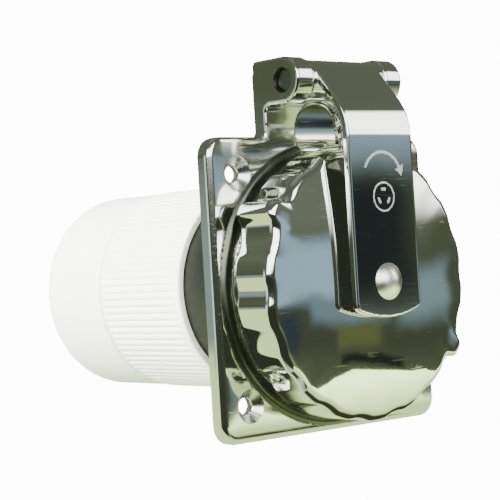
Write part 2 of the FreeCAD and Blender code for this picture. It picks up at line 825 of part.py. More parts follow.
def clamp_jaws():
    """Two saddles that grip the cable; the lower one stands on legs from the rear wall."""
    s = sizes
    half = s.jaw_width / 2
    for label, sign in (("lower_clamp_jaw", -1), ("upper_clamp_jaw", 1)):
        body = new_body(label)
        block = sketch_on(body, FRONT_VIEW, offset=-s.jaw_front)
        near = s.jaw_gap * sign
        far = (s.jaw_gap + s.jaw_height) * sign
        rectangle(block, (-half, near), (half, far))
        pad(body, block, s.jaw_length, Reversed=True)
        if sign < 0:
            for low, high in ((-half, -half + s.jaw_leg), (half - s.jaw_leg, half)):
                leg = sketch_on(body, FRONT_VIEW, offset=-s.jaw_front)
                rectangle(leg, (low, s.jaw_leg_top), (high, far))
                pad(body, leg, s.cap_bore_end - s.jaw_front, Reversed=True)
        saddle = sketch_on(body, FRONT_VIEW)
        circle(saddle, (0, 0), s.jaw_bore)
        pocket(body, saddle, s.cap_shell_back * 2, Midplane=True)
        holes = sketch_on(body, TOP_VIEW)
        for x in (-s.clamp_screw_side, s.clamp_screw_side):
            circle(holes, (x, s.jaw_front + s.jaw_length / 2), s.clamp_screw + s.turn_play)
        pocket(body, holes, s.jaw_width * 2, Midplane=True)


def screws():
    """Screws of the carrier, the terminals and the cable clamp, one group each."""
    s = sizes
    carrier, terminal, clamp = [], [], []
    for angle in CARRIER_SCREW_ANGLES:
        place = radial_turn(angle).multVec(Vector(0, 0, s.carrier_screw_circle.number))
        place.y = s.carrier_front.number
        carrier.append((place, Vector(0, 1, 0), s.carrier_screw, s.carrier_screw_length, s.carrier_head,
                        s.carrier_head_height))
    top = s.contact_circle + s.terminal_height / 2
    for angle in CONTACTS.values():
        outward = radial_turn(angle).multVec(Vector(0, 0, 1))
        place = outward * top.number
        place.y = s.terminal_screw_place.number
        terminal.append((place, outward * -1, s.terminal_screw, s.terminal_screw_length, s.terminal_head,
                         s.terminal_head_height))
    for side in (-1, 1):
        place = Vector(side * s.clamp_screw_side.number, (s.jaw_front + s.jaw_length / 2).number,
                       (s.jaw_gap + s.jaw_height).number)
        clamp.append((place, Vector(0, 0, -1), s.clamp_screw, s.clamp_screw_length, s.clamp_head,
                      s.clamp_head_height))
    screw_group("carrier_screws", carrier)
    screw_group("terminal_screws", terminal)
    screw_group("clamp_screws", clamp)


def write_nodes():
    """Check every object and every part's shape, then write one file for each part."""
    doc.recompute()
    failed = [item.Name for item in doc.Objects if {"Invalid", "Error"} & set(item.State)]
    assert not failed, f"failed objects: {failed}"
    for part in nodes:
        assert not part.Shape.isNull() and part.Shape.isValid(), f"{part.Label} has no valid shape"
    os.makedirs("parts", exist_ok=True)
    for part in nodes:
        part.Shape.exportStep(f"parts/{part.Label}.step")
        print(f"{part.Label}: {part.Shape.Volume:.0f} mm3, {len(part.Shape.Solids)} solid(s)")


for build in (mounting_flange, flange_gasket, front_collar, hinge_pin, lid_arm, rivet_parts, lid_cap,
              lid_gasket, inlet_body, body_fittings, contact_carrier, blades, terminals, locking_ring,
              rear_cap, rear_fittings, clamp_jaws, screws):
    build()
write_nodes()
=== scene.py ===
"""The looks of a flange-mounted power inlet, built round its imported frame.

Every size in this file is in millimetres and in the frame's own axes (front towards -Y, cable end
towards +Y, hinge towards +Z). Meshes are turned into metres only when they are made.
"""
import logging
import math
from dataclasses import dataclass, field
from enum import Enum
from typing import Callable, Optional, Sequence

import bpy
import numpy as np
from mathutils import Matrix, Vector


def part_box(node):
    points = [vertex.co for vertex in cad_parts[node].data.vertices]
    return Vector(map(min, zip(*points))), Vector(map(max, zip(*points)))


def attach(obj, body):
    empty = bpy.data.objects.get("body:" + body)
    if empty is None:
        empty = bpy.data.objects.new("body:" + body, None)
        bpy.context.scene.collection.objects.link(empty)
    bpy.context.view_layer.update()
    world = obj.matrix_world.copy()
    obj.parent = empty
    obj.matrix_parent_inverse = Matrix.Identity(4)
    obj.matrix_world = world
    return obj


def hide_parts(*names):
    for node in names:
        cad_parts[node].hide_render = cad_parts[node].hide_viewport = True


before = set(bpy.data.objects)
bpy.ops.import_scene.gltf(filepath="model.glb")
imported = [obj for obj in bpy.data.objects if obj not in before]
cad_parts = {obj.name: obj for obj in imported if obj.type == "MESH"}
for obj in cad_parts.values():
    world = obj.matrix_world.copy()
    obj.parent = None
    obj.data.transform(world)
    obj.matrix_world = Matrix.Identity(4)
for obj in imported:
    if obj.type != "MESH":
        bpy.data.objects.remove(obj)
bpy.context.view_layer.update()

log = logging.getLogger("power_inlet")
MM = 0.001
HALF_PI = math.pi / 2
SCREW_PLACE = 34.925
HINGE_DEPTH = -13.5
HINGE_HEIGHT = 62.3

Socket = bpy.types.NodeSocket
Field = Callable[[np.ndarray, np.ndarray, np.ndarray], np.ndarray]
Slope = Callable[[np.ndarray], np.ndarray]
Swell = Callable[[np.ndarray, np.ndarray, np.ndarray], np.ndarray]


def node_span(node: str) -> tuple[np.ndarray, np.ndarray]:
    """Lowest and highest corner of a frame node, in millimetres.

    Args:
        node: Name of the node.

    Returns:
        The two corners.
    """
    low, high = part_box(node)
    return np.array(low) / MM, np.array(high) / MM


# ---------------------------------------------------------------------------------------------
# Meshes from arrays
# ---------------------------------------------------------------------------------------------


def mesh_object(name: str, points: np.ndarray, faces: np.ndarray, sharp_deg: float = 38.0,
                slope: Optional[Slope] = None) -> bpy.types.Object:
    """Makes a smooth-shaded object from arrays, with its faces outwards.

    The sum over all faces of (first corner x second corner) . third corner is six times the
    volume, so a negative sum means that the faces point inwards, and their order is reversed.

    Args:
        name: Name of the piece.
        points: Corners in millimetres, one row each.
        faces: Corner numbers, four to a row; a triangle repeats its last corner.
        sharp_deg: Edges that bend more than this stay crisp.
        slope: Optional direction of steepest growth of the surface's own field, for exact shading.

    Returns:
        The linked object.
    """
    a, b, c = points[faces[:, 0]], points[faces[:, 1]], points[faces[:, 2]]
    a2, c2, d2 = points[faces[:, 0]], points[faces[:, 2]], points[faces[:, 3]]
    volume = np.einsum("ij,ij->", np.cross(a, b), c) + np.einsum("ij,ij->", np.cross(a2, c2), d2)
    if volume < 0:
        faces = faces[:, ::-1]
    is_triangle = (faces[:, 2] == faces[:, 3]) | (faces[:, 0] == faces[:, 1])
    triangles = faces[is_triangle]
    if len(triangles):
        doubled_head = triangles[:, 0] == triangles[:, 1]
        triangles = np.where(doubled_head[:, None], triangles[:, 1:], triangles[:, :3])
    shapes = faces[~is_triangle].tolist() + triangles.tolist()
    mesh = bpy.data.meshes.new(name)
    mesh.from_pydata((points * MM).tolist(), [], shapes)
    mesh.validate()
    mesh.shade_smooth()
    mesh.set_sharp_from_angle(angle=math.radians(sharp_deg))
    if slope is not None:
        shade_exactly(mesh, slope)
    piece = bpy.data.objects.new(name, mesh)
    bpy.context.scene.collection.objects.link(piece)
    return piece


def shade_exactly(mesh: bpy.types.Mesh, slope: Slope) -> None:
    """Shades a mesh by the field that it was made from.

    A face corner takes the slope at its own vertex. Where that differs by over 18 degrees from
    the slope a quarter of the way to the face's middle, the vertex is on a crease, and the corner
    takes the second slope.

    Args:
        mesh: The mesh, in metres.
        slope: Unit direction of growth of the field at points in millimetres.
    """
    vertex = np.zeros(len(mesh.vertices) * 3)
    mesh.vertices.foreach_get("co", vertex)
    vertex = vertex.reshape(-1, 3) / MM
    owner = np.zeros(len(mesh.loops), dtype=np.int32)
    mesh.loops.foreach_get("vertex_index", owner)
    corners = np.zeros(len(mesh.polygons), dtype=np.int32)
    mesh.polygons.foreach_get("loop_total", corners)
    middle = np.zeros(len(mesh.polygons) * 3)
    mesh.polygons.foreach_get("center", middle)
    middle = np.repeat(middle.reshape(-1, 3) / MM, corners, axis=0)
    at_vertex = slope(vertex)[owner]
    inside = slope(vertex[owner] * 0.75 + middle * 0.25)
    on_crease = np.einsum("ij,ij->i", at_vertex, inside) < math.cos(math.radians(18))
    mesh.normals_split_custom_set(np.where(on_crease[:, None], inside, at_vertex).tolist())


def grid_faces(rows: int, columns: int, close_rows: bool, close_columns: bool) -> np.ndarray:
    """Quads of a grid whose corners are numbered row by row.

    Args:
        rows: Number of rows of corners.
        columns: Number of corners in a row.
        close_rows: Whether the last row joins the first.
        close_columns: Whether the last corner of a row joins its first.

    Returns:
        Corner numbers, four to a row.
    """
    row = np.arange(rows if close_rows else rows - 1)[:, None]
    column = np.arange(columns if close_columns else columns - 1)[None, :]
    after_row, after_column = (row + 1) % rows, (column + 1) % columns
    quads = np.stack([row * columns + column, row * columns + after_column,
                      after_row * columns + after_column, after_row * columns + column], axis=-1)
    return quads.reshape(-1, 4)


def turned(name: str, profile: np.ndarray, segments: int = 240, swell: Optional[Swell] = None,
           sharp_deg: float = 38.0) -> bpy.types.Object:
    """A body turned about the Y axis.

    Point (y, r) of the profile goes to (r' cos a, y, r' sin a) for every angle a, where r' is r
    plus the swell at (y, r, a). A profile that starts and ends on the axis is closed by poles,
    and any other is a closed loop.

    Args:
        name: Name of the piece.
        profile: Rows of (place along Y, radius).
        segments: Number of steps round the axis.
        swell: Optional growth of the radius.
        sharp_deg: Edges that bend more than this stay crisp.

    Returns:
        The piece.
    """
    on_axis = profile[0, 1] < 1e-6 and profile[-1, 1] < 1e-6
    body = profile[1:-1] if on_axis else profile
    angle = np.linspace(0, 2 * math.pi, segments, endpoint=False)[None, :]
    y, r = body[:, 0][:, None], body[:, 1][:, None]
    radius = r + (swell(y + 0 * angle, r + 0 * angle, angle + 0 * r) if swell else 0) + 0 * angle
    points = np.stack([radius * np.cos(angle), y + 0 * angle, radius * np.sin(angle)], axis=-1)
    points = points.reshape(-1, 3)
    faces = grid_faces(len(body), segments, not on_axis, True)
    if on_axis:
        first, last = len(points), len(points) + 1
        poles = np.array([[0, profile[0, 0], 0], [0, profile[-1, 0], 0]])
        points = np.vstack([points, poles])
        here = np.arange(segments)
        there = (here + 1) % segments
        tail = (len(body) - 1) * segments
        pole = np.full(segments, first)
        end = np.full(segments, last)
        faces = np.vstack([faces, np.stack([there, here, pole, pole], axis=-1),
                           np.stack([tail + here, tail + there, end, end], axis=-1)])
    return mesh_object(name, points, faces, sharp_deg)


def rounded(corners: Sequence[tuple[float, float, float]], closed: bool = True, steps: int = 7,
            spacing: float = 2.5, guard: float = 0.12) -> np.ndarray:
    """A polygon with its corners rounded.

    At a corner with radius R between unit directions p and q, the arc starts R / tan(half angle)
    along p and ends as far along q, about a centre R / sin(half angle) along their bisector.
    Straight runs get points at most spacing apart, and a guard point beside each arc, so that
    their shading stays flat.

    Args:
        corners: Rows of (x, y, radius).
        closed: Whether the last corner joins the first.
        steps: Number of arc pieces at a corner.
        spacing: Longest straight piece.
        guard: Distance of the guard points from an arc.

    Returns:
        The rounded outline, one point to a row.
    """
    count = len(corners)
    place = np.array([corner[:2] for corner in corners], dtype=float)
    runs = []
    for number, (_, _, radius) in enumerate(corners):
        here = place[number]
        if (not closed and number in (0, count - 1)) or radius <= 0:
            runs.append(here[None, :])
            continue
        back = place[number - 1] - here
        ahead = place[(number + 1) % count] - here
        back, ahead = back / np.linalg.norm(back), ahead / np.linalg.norm(ahead)
        half = math.acos(float(np.clip(back @ ahead, -1, 1))) / 2
        reach = radius / math.tan(half)
        bisector = (back + ahead) / np.linalg.norm(back + ahead)
        centre = here + bisector * radius / math.sin(half)
        start, end = here + back * reach - centre, here + ahead * reach - centre
        share = np.linspace(0, 1, steps + 1)[:, None]
        sweep = math.pi - 2 * half
        arc = (np.sin((1 - share) * sweep) * start + np.sin(share * sweep) * end) / math.sin(sweep)
        runs.append(np.vstack([here + back * (reach + guard), centre + arc,
                               here + ahead * (reach + guard)]))
    outline = []
    for number, run in enumerate(runs):
        outline.append(run)
        if not closed and number == count - 1:
            break
        start, end = run[-1], runs[(number + 1) % count][0]
        pieces = max(int(np.ceil(np.linalg.norm(end - start) / spacing)), 1)
        share = np.linspace(0, 1, pieces + 1)[1:-1, None]
        outline.append(start + (end - start) * share)
    return np.vstack(outline)


# ---------------------------------------------------------------------------------------------
# Distance fields, for the pieces with pockets, ears and blends
# ---------------------------------------------------------------------------------------------


def both(first: np.ndarray, second: np.ndarray, radius: float | np.ndarray = 0.0) -> np.ndarray:
    """Intersection of two solids, its edge rounded.

    It is the length of the positive parts of both distances, each raised by the radius, less the
    radius.

    Args:
        first: Distance outside the first solid.
        second: Distance outside the second solid.
        radius: Radius of the edge, a number or an array of them.

    Returns:
        Distance outside the intersection.
    """
    a, b = first + radius, second + radius
    return np.minimum(np.maximum(a, b), 0) + np.hypot(np.maximum(a, 0), np.maximum(b, 0)) - radius


def bent(first: np.ndarray, second: np.ndarray, cosine: float, radius: float) -> np.ndarray:
    """Intersection of two half-spaces with a true round bend.

    With A and B the two distances raised by the radius, and c the cosine between the two
    directions, the distance from the bend's centre line is sqrt((A^2 + B^2 - 2 c A B) / (1 - c^2)).

    Args:
        first: Distance outside the first half-space.
        second: Distance outside the second half-space.
        cosine: Cosine of the angle between their outward directions.
        radius: Radius of the bend.

    Returns:
        Distance outside both.
    """
    a, b = first + radius, second + radius
    within = (a > cosine * b) & (b > cosine * a)
    around = np.sqrt(np.maximum(a * a + b * b - 2 * cosine * a * b, 0) / (1 - cosine ** 2)) - radius
    return np.where(within, around, np.maximum(first, second))


def either(first: np.ndarray, second: np.ndarray, radius: float = 0.0) -> np.ndarray:
    """Union of two solids, with a fillet of the given radius where they meet."""
    return -both(-first, -second, radius)


def without(solid: np.ndarray, cutter: np.ndarray, radius: float = 0.0) -> np.ndarray:
    """A solid with a cutter taken away, its new edge rounded."""
    return both(solid, -cutter, radius)


def slab(x: np.ndarray, low: float, high: float) -> np.ndarray:
    """Distance outside the space between two parallel planes."""
    return np.abs(x - (low + high) / 2) - (high - low) / 2


def rounded_square(x: np.ndarray, z: np.ndarray, half: float, radius: float) -> np.ndarray:
    """Distance outside a square about the origin with round corners."""
    a, b = np.abs(x) - half + radius, np.abs(z) - half + radius
    return np.hypot(np.maximum(a, 0), np.maximum(b, 0)) + np.minimum(np.maximum(a, b), 0) - radius


def contoured(name: str, solid: Field, low: Sequence[float], high: Sequence[float], step: float,
              sharp_deg: float = 38.0) -> bpy.types.Object:
    """The zero surface of a distance field, by dual contouring.

    The field is sampled on a grid. Where it changes sign along a grid edge, the crossing and the
    field's slope there are found. Each cell that touches crossings gets one vertex: the point
    that lies best, by least squares, on the planes through its crossings. Each crossed edge then
    gives one quad, through the four cells round it.

    Args:
        name: Name of the piece.
        solid: Distance as a function of x, y and z, negative inside.
        low: Lowest corner of the grid.
        high: Highest corner of the grid.
        step: Grid spacing.
        sharp_deg: Edges that bend more than this stay crisp.

    Returns:
        The piece.
    """
    axes = [np.arange(a - 1.37 * step, b + 2.2 * step, step) for a, b in zip(low, high)]
    counts = np.array([len(axis) for axis in axes])
    value = solid(*np.meshgrid(*axes, indexing="ij", sparse=True)) + np.zeros(counts)
    cells = counts - 1
    strides = np.array([cells[1] * cells[2], cells[2], 1])
    crossings, owners, quads, outward = [], [], [], []
    for axis in range(3):
        near = [slice(None)] * 3
        far = [slice(None)] * 3
        near[axis], far[axis] = slice(0, -1), slice(1, None)
        first, second = value[tuple(near)], value[tuple(far)]
        spot = np.argwhere((first < 0) != (second < 0))
        others = [a for a in range(3) if a != axis]
        spot = spot[(spot[:, others] > 0).all(1) & (spot[:, others] < cells[others]).all(1)]
        a, b = first[tuple(spot.T)], second[tuple(spot.T)]
        share = a / (a - b)
        point = np.stack([axes[k][spot[:, k]] for k in range(3)], axis=1)
        point[:, axis] += share * step
        ring = []
        for du, dv in ((0, 0), (-1, 0), (-1, -1), (0, -1)):
            cell = spot.copy()
            cell[:, others[0]] += du
            cell[:, others[1]] += dv
            ring.append(cell @ strides)
        ring = np.stack(ring, axis=1)
        crossings.append(point)
        owners.append(ring)
        flip = (a < 0) != (axis == 1)
        quads.append(np.where(flip[:, None], ring, ring[:, ::-1]))
        outward.append(flip)
    point = np.vstack(crossings)
    owner = np.vstack(owners)

    def slope(place: np.ndarray) -> np.ndarray:
        """Unit direction of growth of the field, by central differences.

        Args:
            place: Points, one to a row.

        Returns:
            The directions, one to a row.
        """
        tiny = step * 0.02
        growth = np.zeros_like(place)
        for axis in range(3):
            ahead, behind = place.copy(), place.copy()
            ahead[:, axis] += tiny
            behind[:, axis] -= tiny
            growth[:, axis] = solid(*ahead.T) - solid(*behind.T)
        return growth / np.maximum(np.linalg.norm(growth, axis=1, keepdims=True), 1e-12)

    names, compact = np.unique(owner.ravel(), return_inverse=True)
    compact = compact.reshape(-1)
    total = len(names)
    plane = np.repeat(slope(point), 4, axis=0)
    where = np.repeat(point, 4, axis=0)

    def gather(amount: np.ndarray) -> np.ndarray:
        """Sum of an amount over the crossings of each cell."""
        return np.bincount(compact, weights=amount, minlength=total)

    hits = gather(np.ones(len(compact)))
    middle = np.stack([gather(where[:, k]) for k in range(3)], axis=1) / hits[:, None]
    offset = np.einsum("ij,ij->i", plane, where - middle[compact])
    square = np.zeros((total, 3, 3))
    side = np.zeros((total, 3))
    for k in range(3):
        side[:, k] = gather(plane[:, k] * offset)
        for m in range(3):
            square[:, k, m] = gather(plane[:, k] * plane[:, m])
    steady = 0.02 * hits[:, None, None] * np.eye(3)
    vertex = middle + np.clip(np.linalg.solve(square + steady, side[..., None])[..., 0], -step, step)
    faces = np.searchsorted(names, np.vstack(quads))
    return mesh_object(name, vertex, faces, sharp_deg, slope)


# ---------------------------------------------------------------------------------------------
# Shader nodes
# ---------------------------------------------------------------------------------------------


class Graph:
    """A node tree that is filled one line at a time."""

    def __init__(self, tree: bpy.types.NodeTree) -> None:
        """Takes over a tree and clears it.

        Args:
            tree: Node tree of a material, a world or a group.
        """
        self.tree = tree
        tree.nodes.clear()

    def add(self, kind: str, inputs: Optional[dict] = None, **settings: object) -> bpy.types.Node:
        """Adds a node.

        Args:
            kind: Node type without its ShaderNode prefix.
            inputs: Socket name or number to a value or to another node's socket.
            **settings: Properties of the node.

        Returns:
            The node.
        """
        node = self.tree.nodes.new(kind if kind.startswith("Node") else f"ShaderNode{kind}")
        for key, setting in settings.items():
            setattr(node, key, setting)
        for key, value in (inputs or {}).items():
            socket = node.inputs[key]
            if isinstance(value, Socket):
                self.tree.links.new(value, socket)
            else:
                socket.default_value = value
        return node

    def maths(self, operation: str, *values: object) -> Socket:
        """Adds a Math node and returns its result."""
        return self.add("Math", dict(enumerate(values)), operation=operation).outputs[0]

    def ramp(self, source: Socket, stops: Sequence[tuple[float, tuple]]) -> Socket:
        """Adds a colour ramp.

        Args:
            source: Socket that drives the ramp.
            stops: Rows of (place, colour), where a colour has three numbers.

        Returns:
            The ramp's colour.
        """
        node = self.add("ValToRGB", {"Fac": source})
        bar = node.color_ramp
        while len(bar.elements) < len(stops):
            bar.elements.new(0.5)
        for element, (place, colour) in zip(bar.elements, stops):
            element.position = place
            element.color = (*colour, 1.0)
        return node.outputs["Color"]

    def blend(self, share: object, first: object, second: object, mode: str = "MIX") -> Socket:
        """Mixes two colours and returns the result."""
        node = self.add("Mix", {0: share, 6: first, 7: second}, data_type="RGBA", blend_type=mode)
        return node.outputs[2]


def group_tree(name: str, inputs: dict[str, float], outputs: Sequence[str]) -> Graph:
    """A new shader node group with float sockets.

    Args:
        name: Name of the group.
        inputs: Input names and their default values.
        outputs: Output names.

    Returns:
        Its graph, with nodes called "in" and "out".
    """
    tree = bpy.data.node_groups.new(name, "ShaderNodeTree")
    for key, value in inputs.items():
        socket = tree.interface.new_socket(name=key, in_out="INPUT", socket_type="NodeSocketFloat")
        socket.default_value = value
    for key in outputs:
        tree.interface.new_socket(name=key, in_out="OUTPUT", socket_type="NodeSocketFloat")
    graph = Graph(tree)
    graph.add("NodeGroupInput").name = "in"
    graph.add("NodeGroupOutput").name = "out"
    return graph


def polish_group() -> bpy.types.NodeTree:
    """Waves left by polishing and fine scratches.

    Waves is a soft height between 0 and 1 whose hills are Wave Size metres apart, and Scratches is
    a mask of hairlines, Scratch Size metres apart, stretched along X.

    Returns:
        The group's tree.
    """
    graph = group_tree("polish", {"Wave Size": 0.012, "Scratch Size": 0.0006}, ("Waves", "Scratches"))
    source, sink = graph.tree.nodes["in"], graph.tree.nodes["out"]
    place = graph.add("TexCoord").outputs["Object"]
    scale = graph.maths("DIVIDE", 1.0, source.outputs["Wave Size"])
    waves = graph.add("TexNoise", {"Vector": place, "Scale": scale, "Detail": 1.5, "Roughness": 0.4})
    stretch = graph.add("Mapping", {"Vector": place, "Scale": (0.08, 1.0, 1.0),
                                    "Rotation": (0.1, 0.2, 0.35)})
    fine = graph.maths("DIVIDE", 1.0, source.outputs["Scratch Size"])
    hairs = graph.add("TexNoise", {"Vector": stretch.outputs[0], "Scale": fine, "Detail": 3.0})
    sharp = graph.add("MapRange", {"Value": hairs.outputs["Fac"], "From Min": 0.60, "From Max": 0.72})
    graph.tree.links.new(waves.outputs["Fac"], sink.inputs["Waves"])
    graph.tree.links.new(sharp.outputs["Result"], sink.inputs["Scratches"])
    return graph.tree


def grain_group() -> bpy.types.NodeTree:
    """Fine grain of a moulded or cast surface.

    Grain is a height between 0 and 1 whose specks are Grain Size metres wide, and Mottle is a slow
    variation Mottle Size metres wide.

    Returns:
        The group's tree.
    """
    graph = group_tree("grain", {"Grain Size": 0.0004, "Mottle Size": 0.02}, ("Grain", "Mottle"))
    source, sink = graph.tree.nodes["in"], graph.tree.nodes["out"]
    place = graph.add("TexCoord").outputs["Object"]
    for size, output, detail in (("Grain Size", "Grain", 3.0), ("Mottle Size", "Mottle", 2.0)):
        scale = graph.maths("DIVIDE", 1.0, source.outputs[size])
        noise = graph.add("TexNoise", {"Vector": place, "Scale": scale, "Detail": detail})
        graph.tree.links.new(noise.outputs["Fac"], sink.inputs[output])
    return graph.tree


def length_of(graph: Graph, first: Socket, second: Socket) -> Socket:
    """Length of a flat vector, by nodes."""
    return graph.maths("SQRT", graph.maths("ADD", graph.maths("MULTIPLY", first, first),
                                           graph.maths("MULTIPLY", second, second)))


def millimetres(graph: Graph) -> bpy.types.NodeOutputs:
    """Object coordinates in millimetres, as the outputs X, Y and Z of a node."""
    place = graph.add("VectorMath", {0: graph.add("TexCoord").outputs["Object"], 1: (1 / MM,) * 3},
                      operation="MULTIPLY")
    return graph.add("SeparateXYZ", {0: place.outputs[0]}).outputs


def places_group() -> bpy.types.NodeTree:
    """Places on the casting that are left rougher and darkened with painted shade.

    Recess is a mask of the ring round Ring Middle, Ring Half wide each way, in front of the plate's
    face, less the scoop, and of the pin's holes in the ears. Sink is a mask of the discs about the
    four screw holes, whose places are folded into one quarter.

    Returns:
        The group's tree.
    """
    sizes = {"Ring Middle": 42.9, "Ring Half": 2.0, "Ring Edge": 0.5, "Scoop Half": 9.4, "Face": -4.9,
             "Bore": 3.95, "Sink Radius": 5.4, "Sink Face": -4.93}
    graph = group_tree("casting_places", sizes, ("Recess", "Sink"))
    size, sink = graph.tree.nodes["in"].outputs, graph.tree.nodes["out"]
    split = millimetres(graph)
    from_ring = graph.maths("ABSOLUTE", graph.maths("SUBTRACT", length_of(graph, split["X"], split["Z"]),
                                                    size["Ring Middle"]))
    in_ring = graph.add("MapRange", {"Value": graph.maths("SUBTRACT", size["Ring Half"], from_ring),
                                     "From Min": 0.0, "From Max": size["Ring Edge"]})
    in_scoop = graph.maths("MULTIPLY",
                           graph.maths("LESS_THAN", graph.maths("ABSOLUTE", split["X"]), size["Scoop Half"]),
                           graph.maths("GREATER_THAN", split["Z"], 0.0))
    ahead = graph.maths("LESS_THAN", split["Y"], size["Face"])
    kept = graph.maths("MULTIPLY", ahead, graph.maths("SUBTRACT", 1.0, in_scoop))
    kept = graph.maths("MULTIPLY", in_ring.outputs["Result"], kept)
    from_pin = [graph.maths("SUBTRACT", split[axis], middle)
                for axis, middle in (("Y", HINGE_DEPTH), ("Z", HINGE_HEIGHT))]
    bore = graph.maths("LESS_THAN", length_of(graph, *from_pin), size["Bore"])
    folded = [graph.maths("SUBTRACT", graph.maths("ABSOLUTE", split[axis]), SCREW_PLACE) for axis in "XZ"]
    disc = graph.maths("MULTIPLY", graph.maths("LESS_THAN", length_of(graph, *folded), size["Sink Radius"]),
                       graph.maths("GREATER_THAN", split["Y"], size["Sink Face"]))
    graph.tree.links.new(graph.maths("MAXIMUM", kept, bore), sink.inputs["Recess"])
    graph.tree.links.new(disc, sink.inputs["Sink"])
    return graph.tree


def marks_group() -> bpy.types.NodeTree:
    """Etched pictograms on the strap, in the front view and in millimetres.

    A turn arrow is the part of a ring of Arrow Radius between two angles, and a head whose half
    thickness grows with the angle. Below it, a plug face is a thin ring with three short arcs: the
    angle is folded into thirds of a turn, so that one arc stands for all. Line is half the
    thickness of the strokes.

    Returns:
        The group's tree.
    """
    sizes = {"Arrow Height": 31.0, "Arrow Radius": 8.0, "Face Height": 25.5, "Face Radius": 4.3,
             "Face Line": 0.3, "Blade Radius": 2.3, "Line": 0.45, "Front": -31.0}
    graph = group_tree("marks", sizes, ("Etch",))
    size, sink = graph.tree.nodes["in"].outputs, graph.tree.nodes["out"]
    split = millimetres(graph)
    on_front = graph.maths("LESS_THAN", split["Y"], size["Front"])

    def polar(height: Socket) -> tuple[Socket, Socket]:
        """Radius and angle in degrees about a point on the strap's middle line.

        Args:
            height: Height of the point.

        Returns:
            The radius and the angle.
        """
        lift = graph.maths("SUBTRACT", split["Z"], height)
        turn = graph.maths("DEGREES", graph.maths("ARCTAN2", lift, split["X"]))
        return length_of(graph, split["X"], lift), turn

    def band(value: Socket, middle: float | Socket, half: float | Socket) -> Socket:
        """One where a value is within half of the middle."""
        gap = graph.maths("ABSOLUTE", graph.maths("SUBTRACT", value, middle))
        return graph.maths("LESS_THAN", gap, half)

    radius, angle = polar(size["Arrow Height"])
    arc = graph.maths("MULTIPLY", band(radius, size["Arrow Radius"], size["Line"]), band(angle, 90.0, 65.0))
    flare = graph.maths("MULTIPLY", graph.maths("SUBTRACT", angle, 4.0), 0.09)
    head = graph.maths("MULTIPLY", band(radius, size["Arrow Radius"], flare), band(angle, 15.0, 11.0))
    radius, angle = polar(size["Face Height"])
    rim = band(radius, size["Face Radius"], size["Face Line"])
    folded = graph.maths("WRAP", graph.maths("SUBTRACT", angle, 90.0), 60.0, -60.0)
    blade = graph.maths("MULTIPLY", band(radius, size["Blade Radius"], size["Line"]),
                        band(folded, 0.0, 24.0))
    marks = arc
    for mark in (head, rim, blade):
        marks = graph.maths("MAXIMUM", marks, mark)
    graph.tree.links.new(graph.maths("MULTIPLY", marks, on_front), sink.inputs["Etch"])
    return graph.tree


POLISH = polish_group()
GRAIN = grain_group()
MARKS = marks_group()
PLACES = places_group()


@dataclass(frozen=True)
class Metal:
    """A metal finish: its colour, gloss, polishing waves and scratches, a faint painted fill glow, and on
    castings painted shade in the recesses.
    """

    name: str
    tint: tuple[float, float, float]
    shade: tuple[float, float, float]
    roughness: float
    wave_size: float
    wave_height: float
    scratch_size: float
    scratch_gloss: float
    marked: bool = False
    cast: bool = False
    # The next two fields are a painted fill glow: a faint greenish emission that stands in for bounced
    # light, so deep gaps don't go black.
    painted_fill_glow: float = 0.008
    painted_fill_glow_tint: tuple[float, float, float] = (0.80, 1.0, 0.66)
    mottle_ratio: float = 1.7
    smudge: float = 0.6
    etch_rough: float = 0.42
    etch_tint: tuple[float, float, float] = (0.92, 0.95, 0.98)
    recess_rough: float = 0.24
    # Colour of the painted shade in the ring round the boss and in the pin holes.
    recess_painted_shade: tuple[float, float, float] = (0.11, 0.125, 0.095)
    sink_rough: float = 0.16
    scratch_strength: float = 0.06
    scratch_depth: float = 0.01

    def build(self) -> bpy.types.Material:
        """Makes the material.

        Returns:
            The material, with its patterns on Object coordinates.
        """
        material = bpy.data.materials.new(self.name)
        material.use_nodes = True
        graph = Graph(material.node_tree)
        polish = graph.add("Group", node_tree=POLISH)
        polish.inputs["Wave Size"].default_value = self.wave_size * MM
        polish.inputs["Scratch Size"].default_value = self.scratch_size * MM
        grain = graph.add("Group", node_tree=GRAIN)
        grain.inputs["Mottle Size"].default_value = self.wave_size * MM * self.mottle_ratio
        colour = graph.blend(grain.outputs["Mottle"], (*self.shade, 1), (*self.tint, 1))
        rough = graph.maths("MULTIPLY_ADD", polish.outputs["Scratches"], self.scratch_gloss, self.roughness)
        smudge = graph.add("MapRange", {"Value": grain.outputs["Mottle"], "From Min": 0.35, "From Max": 0.75,
                                        "To Min": 0.0, "To Max": self.roughness * self.smudge})
        rough = graph.maths("ADD", rough, smudge.outputs["Result"])
        if self.marked:
            etch = graph.add("Group", node_tree=MARKS).outputs["Etch"]
            rough = graph.maths("MAXIMUM", rough, graph.maths("MULTIPLY", etch, self.etch_rough))
            colour = graph.blend(etch, colour, (*self.etch_tint, 1))
        if self.cast:
            places = graph.add("Group", node_tree=PLACES)
            rough = graph.maths("MULTIPLY_ADD", places.outputs["Recess"], self.recess_rough, rough)
            rough = graph.maths("MULTIPLY_ADD", places.outputs["Sink"], self.sink_rough, rough)
            # Painted shade: the Recess mask darkens the colour round the boss and in the pin holes, where
            # shade falls.
            colour = graph.blend(places.outputs["Recess"], colour, (*self.recess_painted_shade, 1))
        wave = graph.add("Bump", {"Height": polish.outputs["Waves"], "Strength": 1.0,
                                  "Distance": self.wave_height * MM})
        scratch = graph.add("Bump", {"Height": polish.outputs["Scratches"],
                                     "Strength": self.scratch_strength,
                                     "Distance": self.scratch_depth * MM, "Normal": wave.outputs["Normal"]})
        shader = graph.add("BsdfPrincipled", {"Base Color": colour, "Metallic": 1.0, "Roughness": rough,
                                              "Normal": scratch.outputs["Normal"]})
        # Painted light: this emission is a faint fill glow on every metal, standing in for bounced light in
        # the dark gaps.
        shader.inputs["Emission Color"].default_value = (*self.painted_fill_glow_tint, 1)
        shader.inputs["Emission Strength"].default_value = self.painted_fill_glow
        graph.add("OutputMaterial", {"Surface": shader.outputs[0]})
        return material


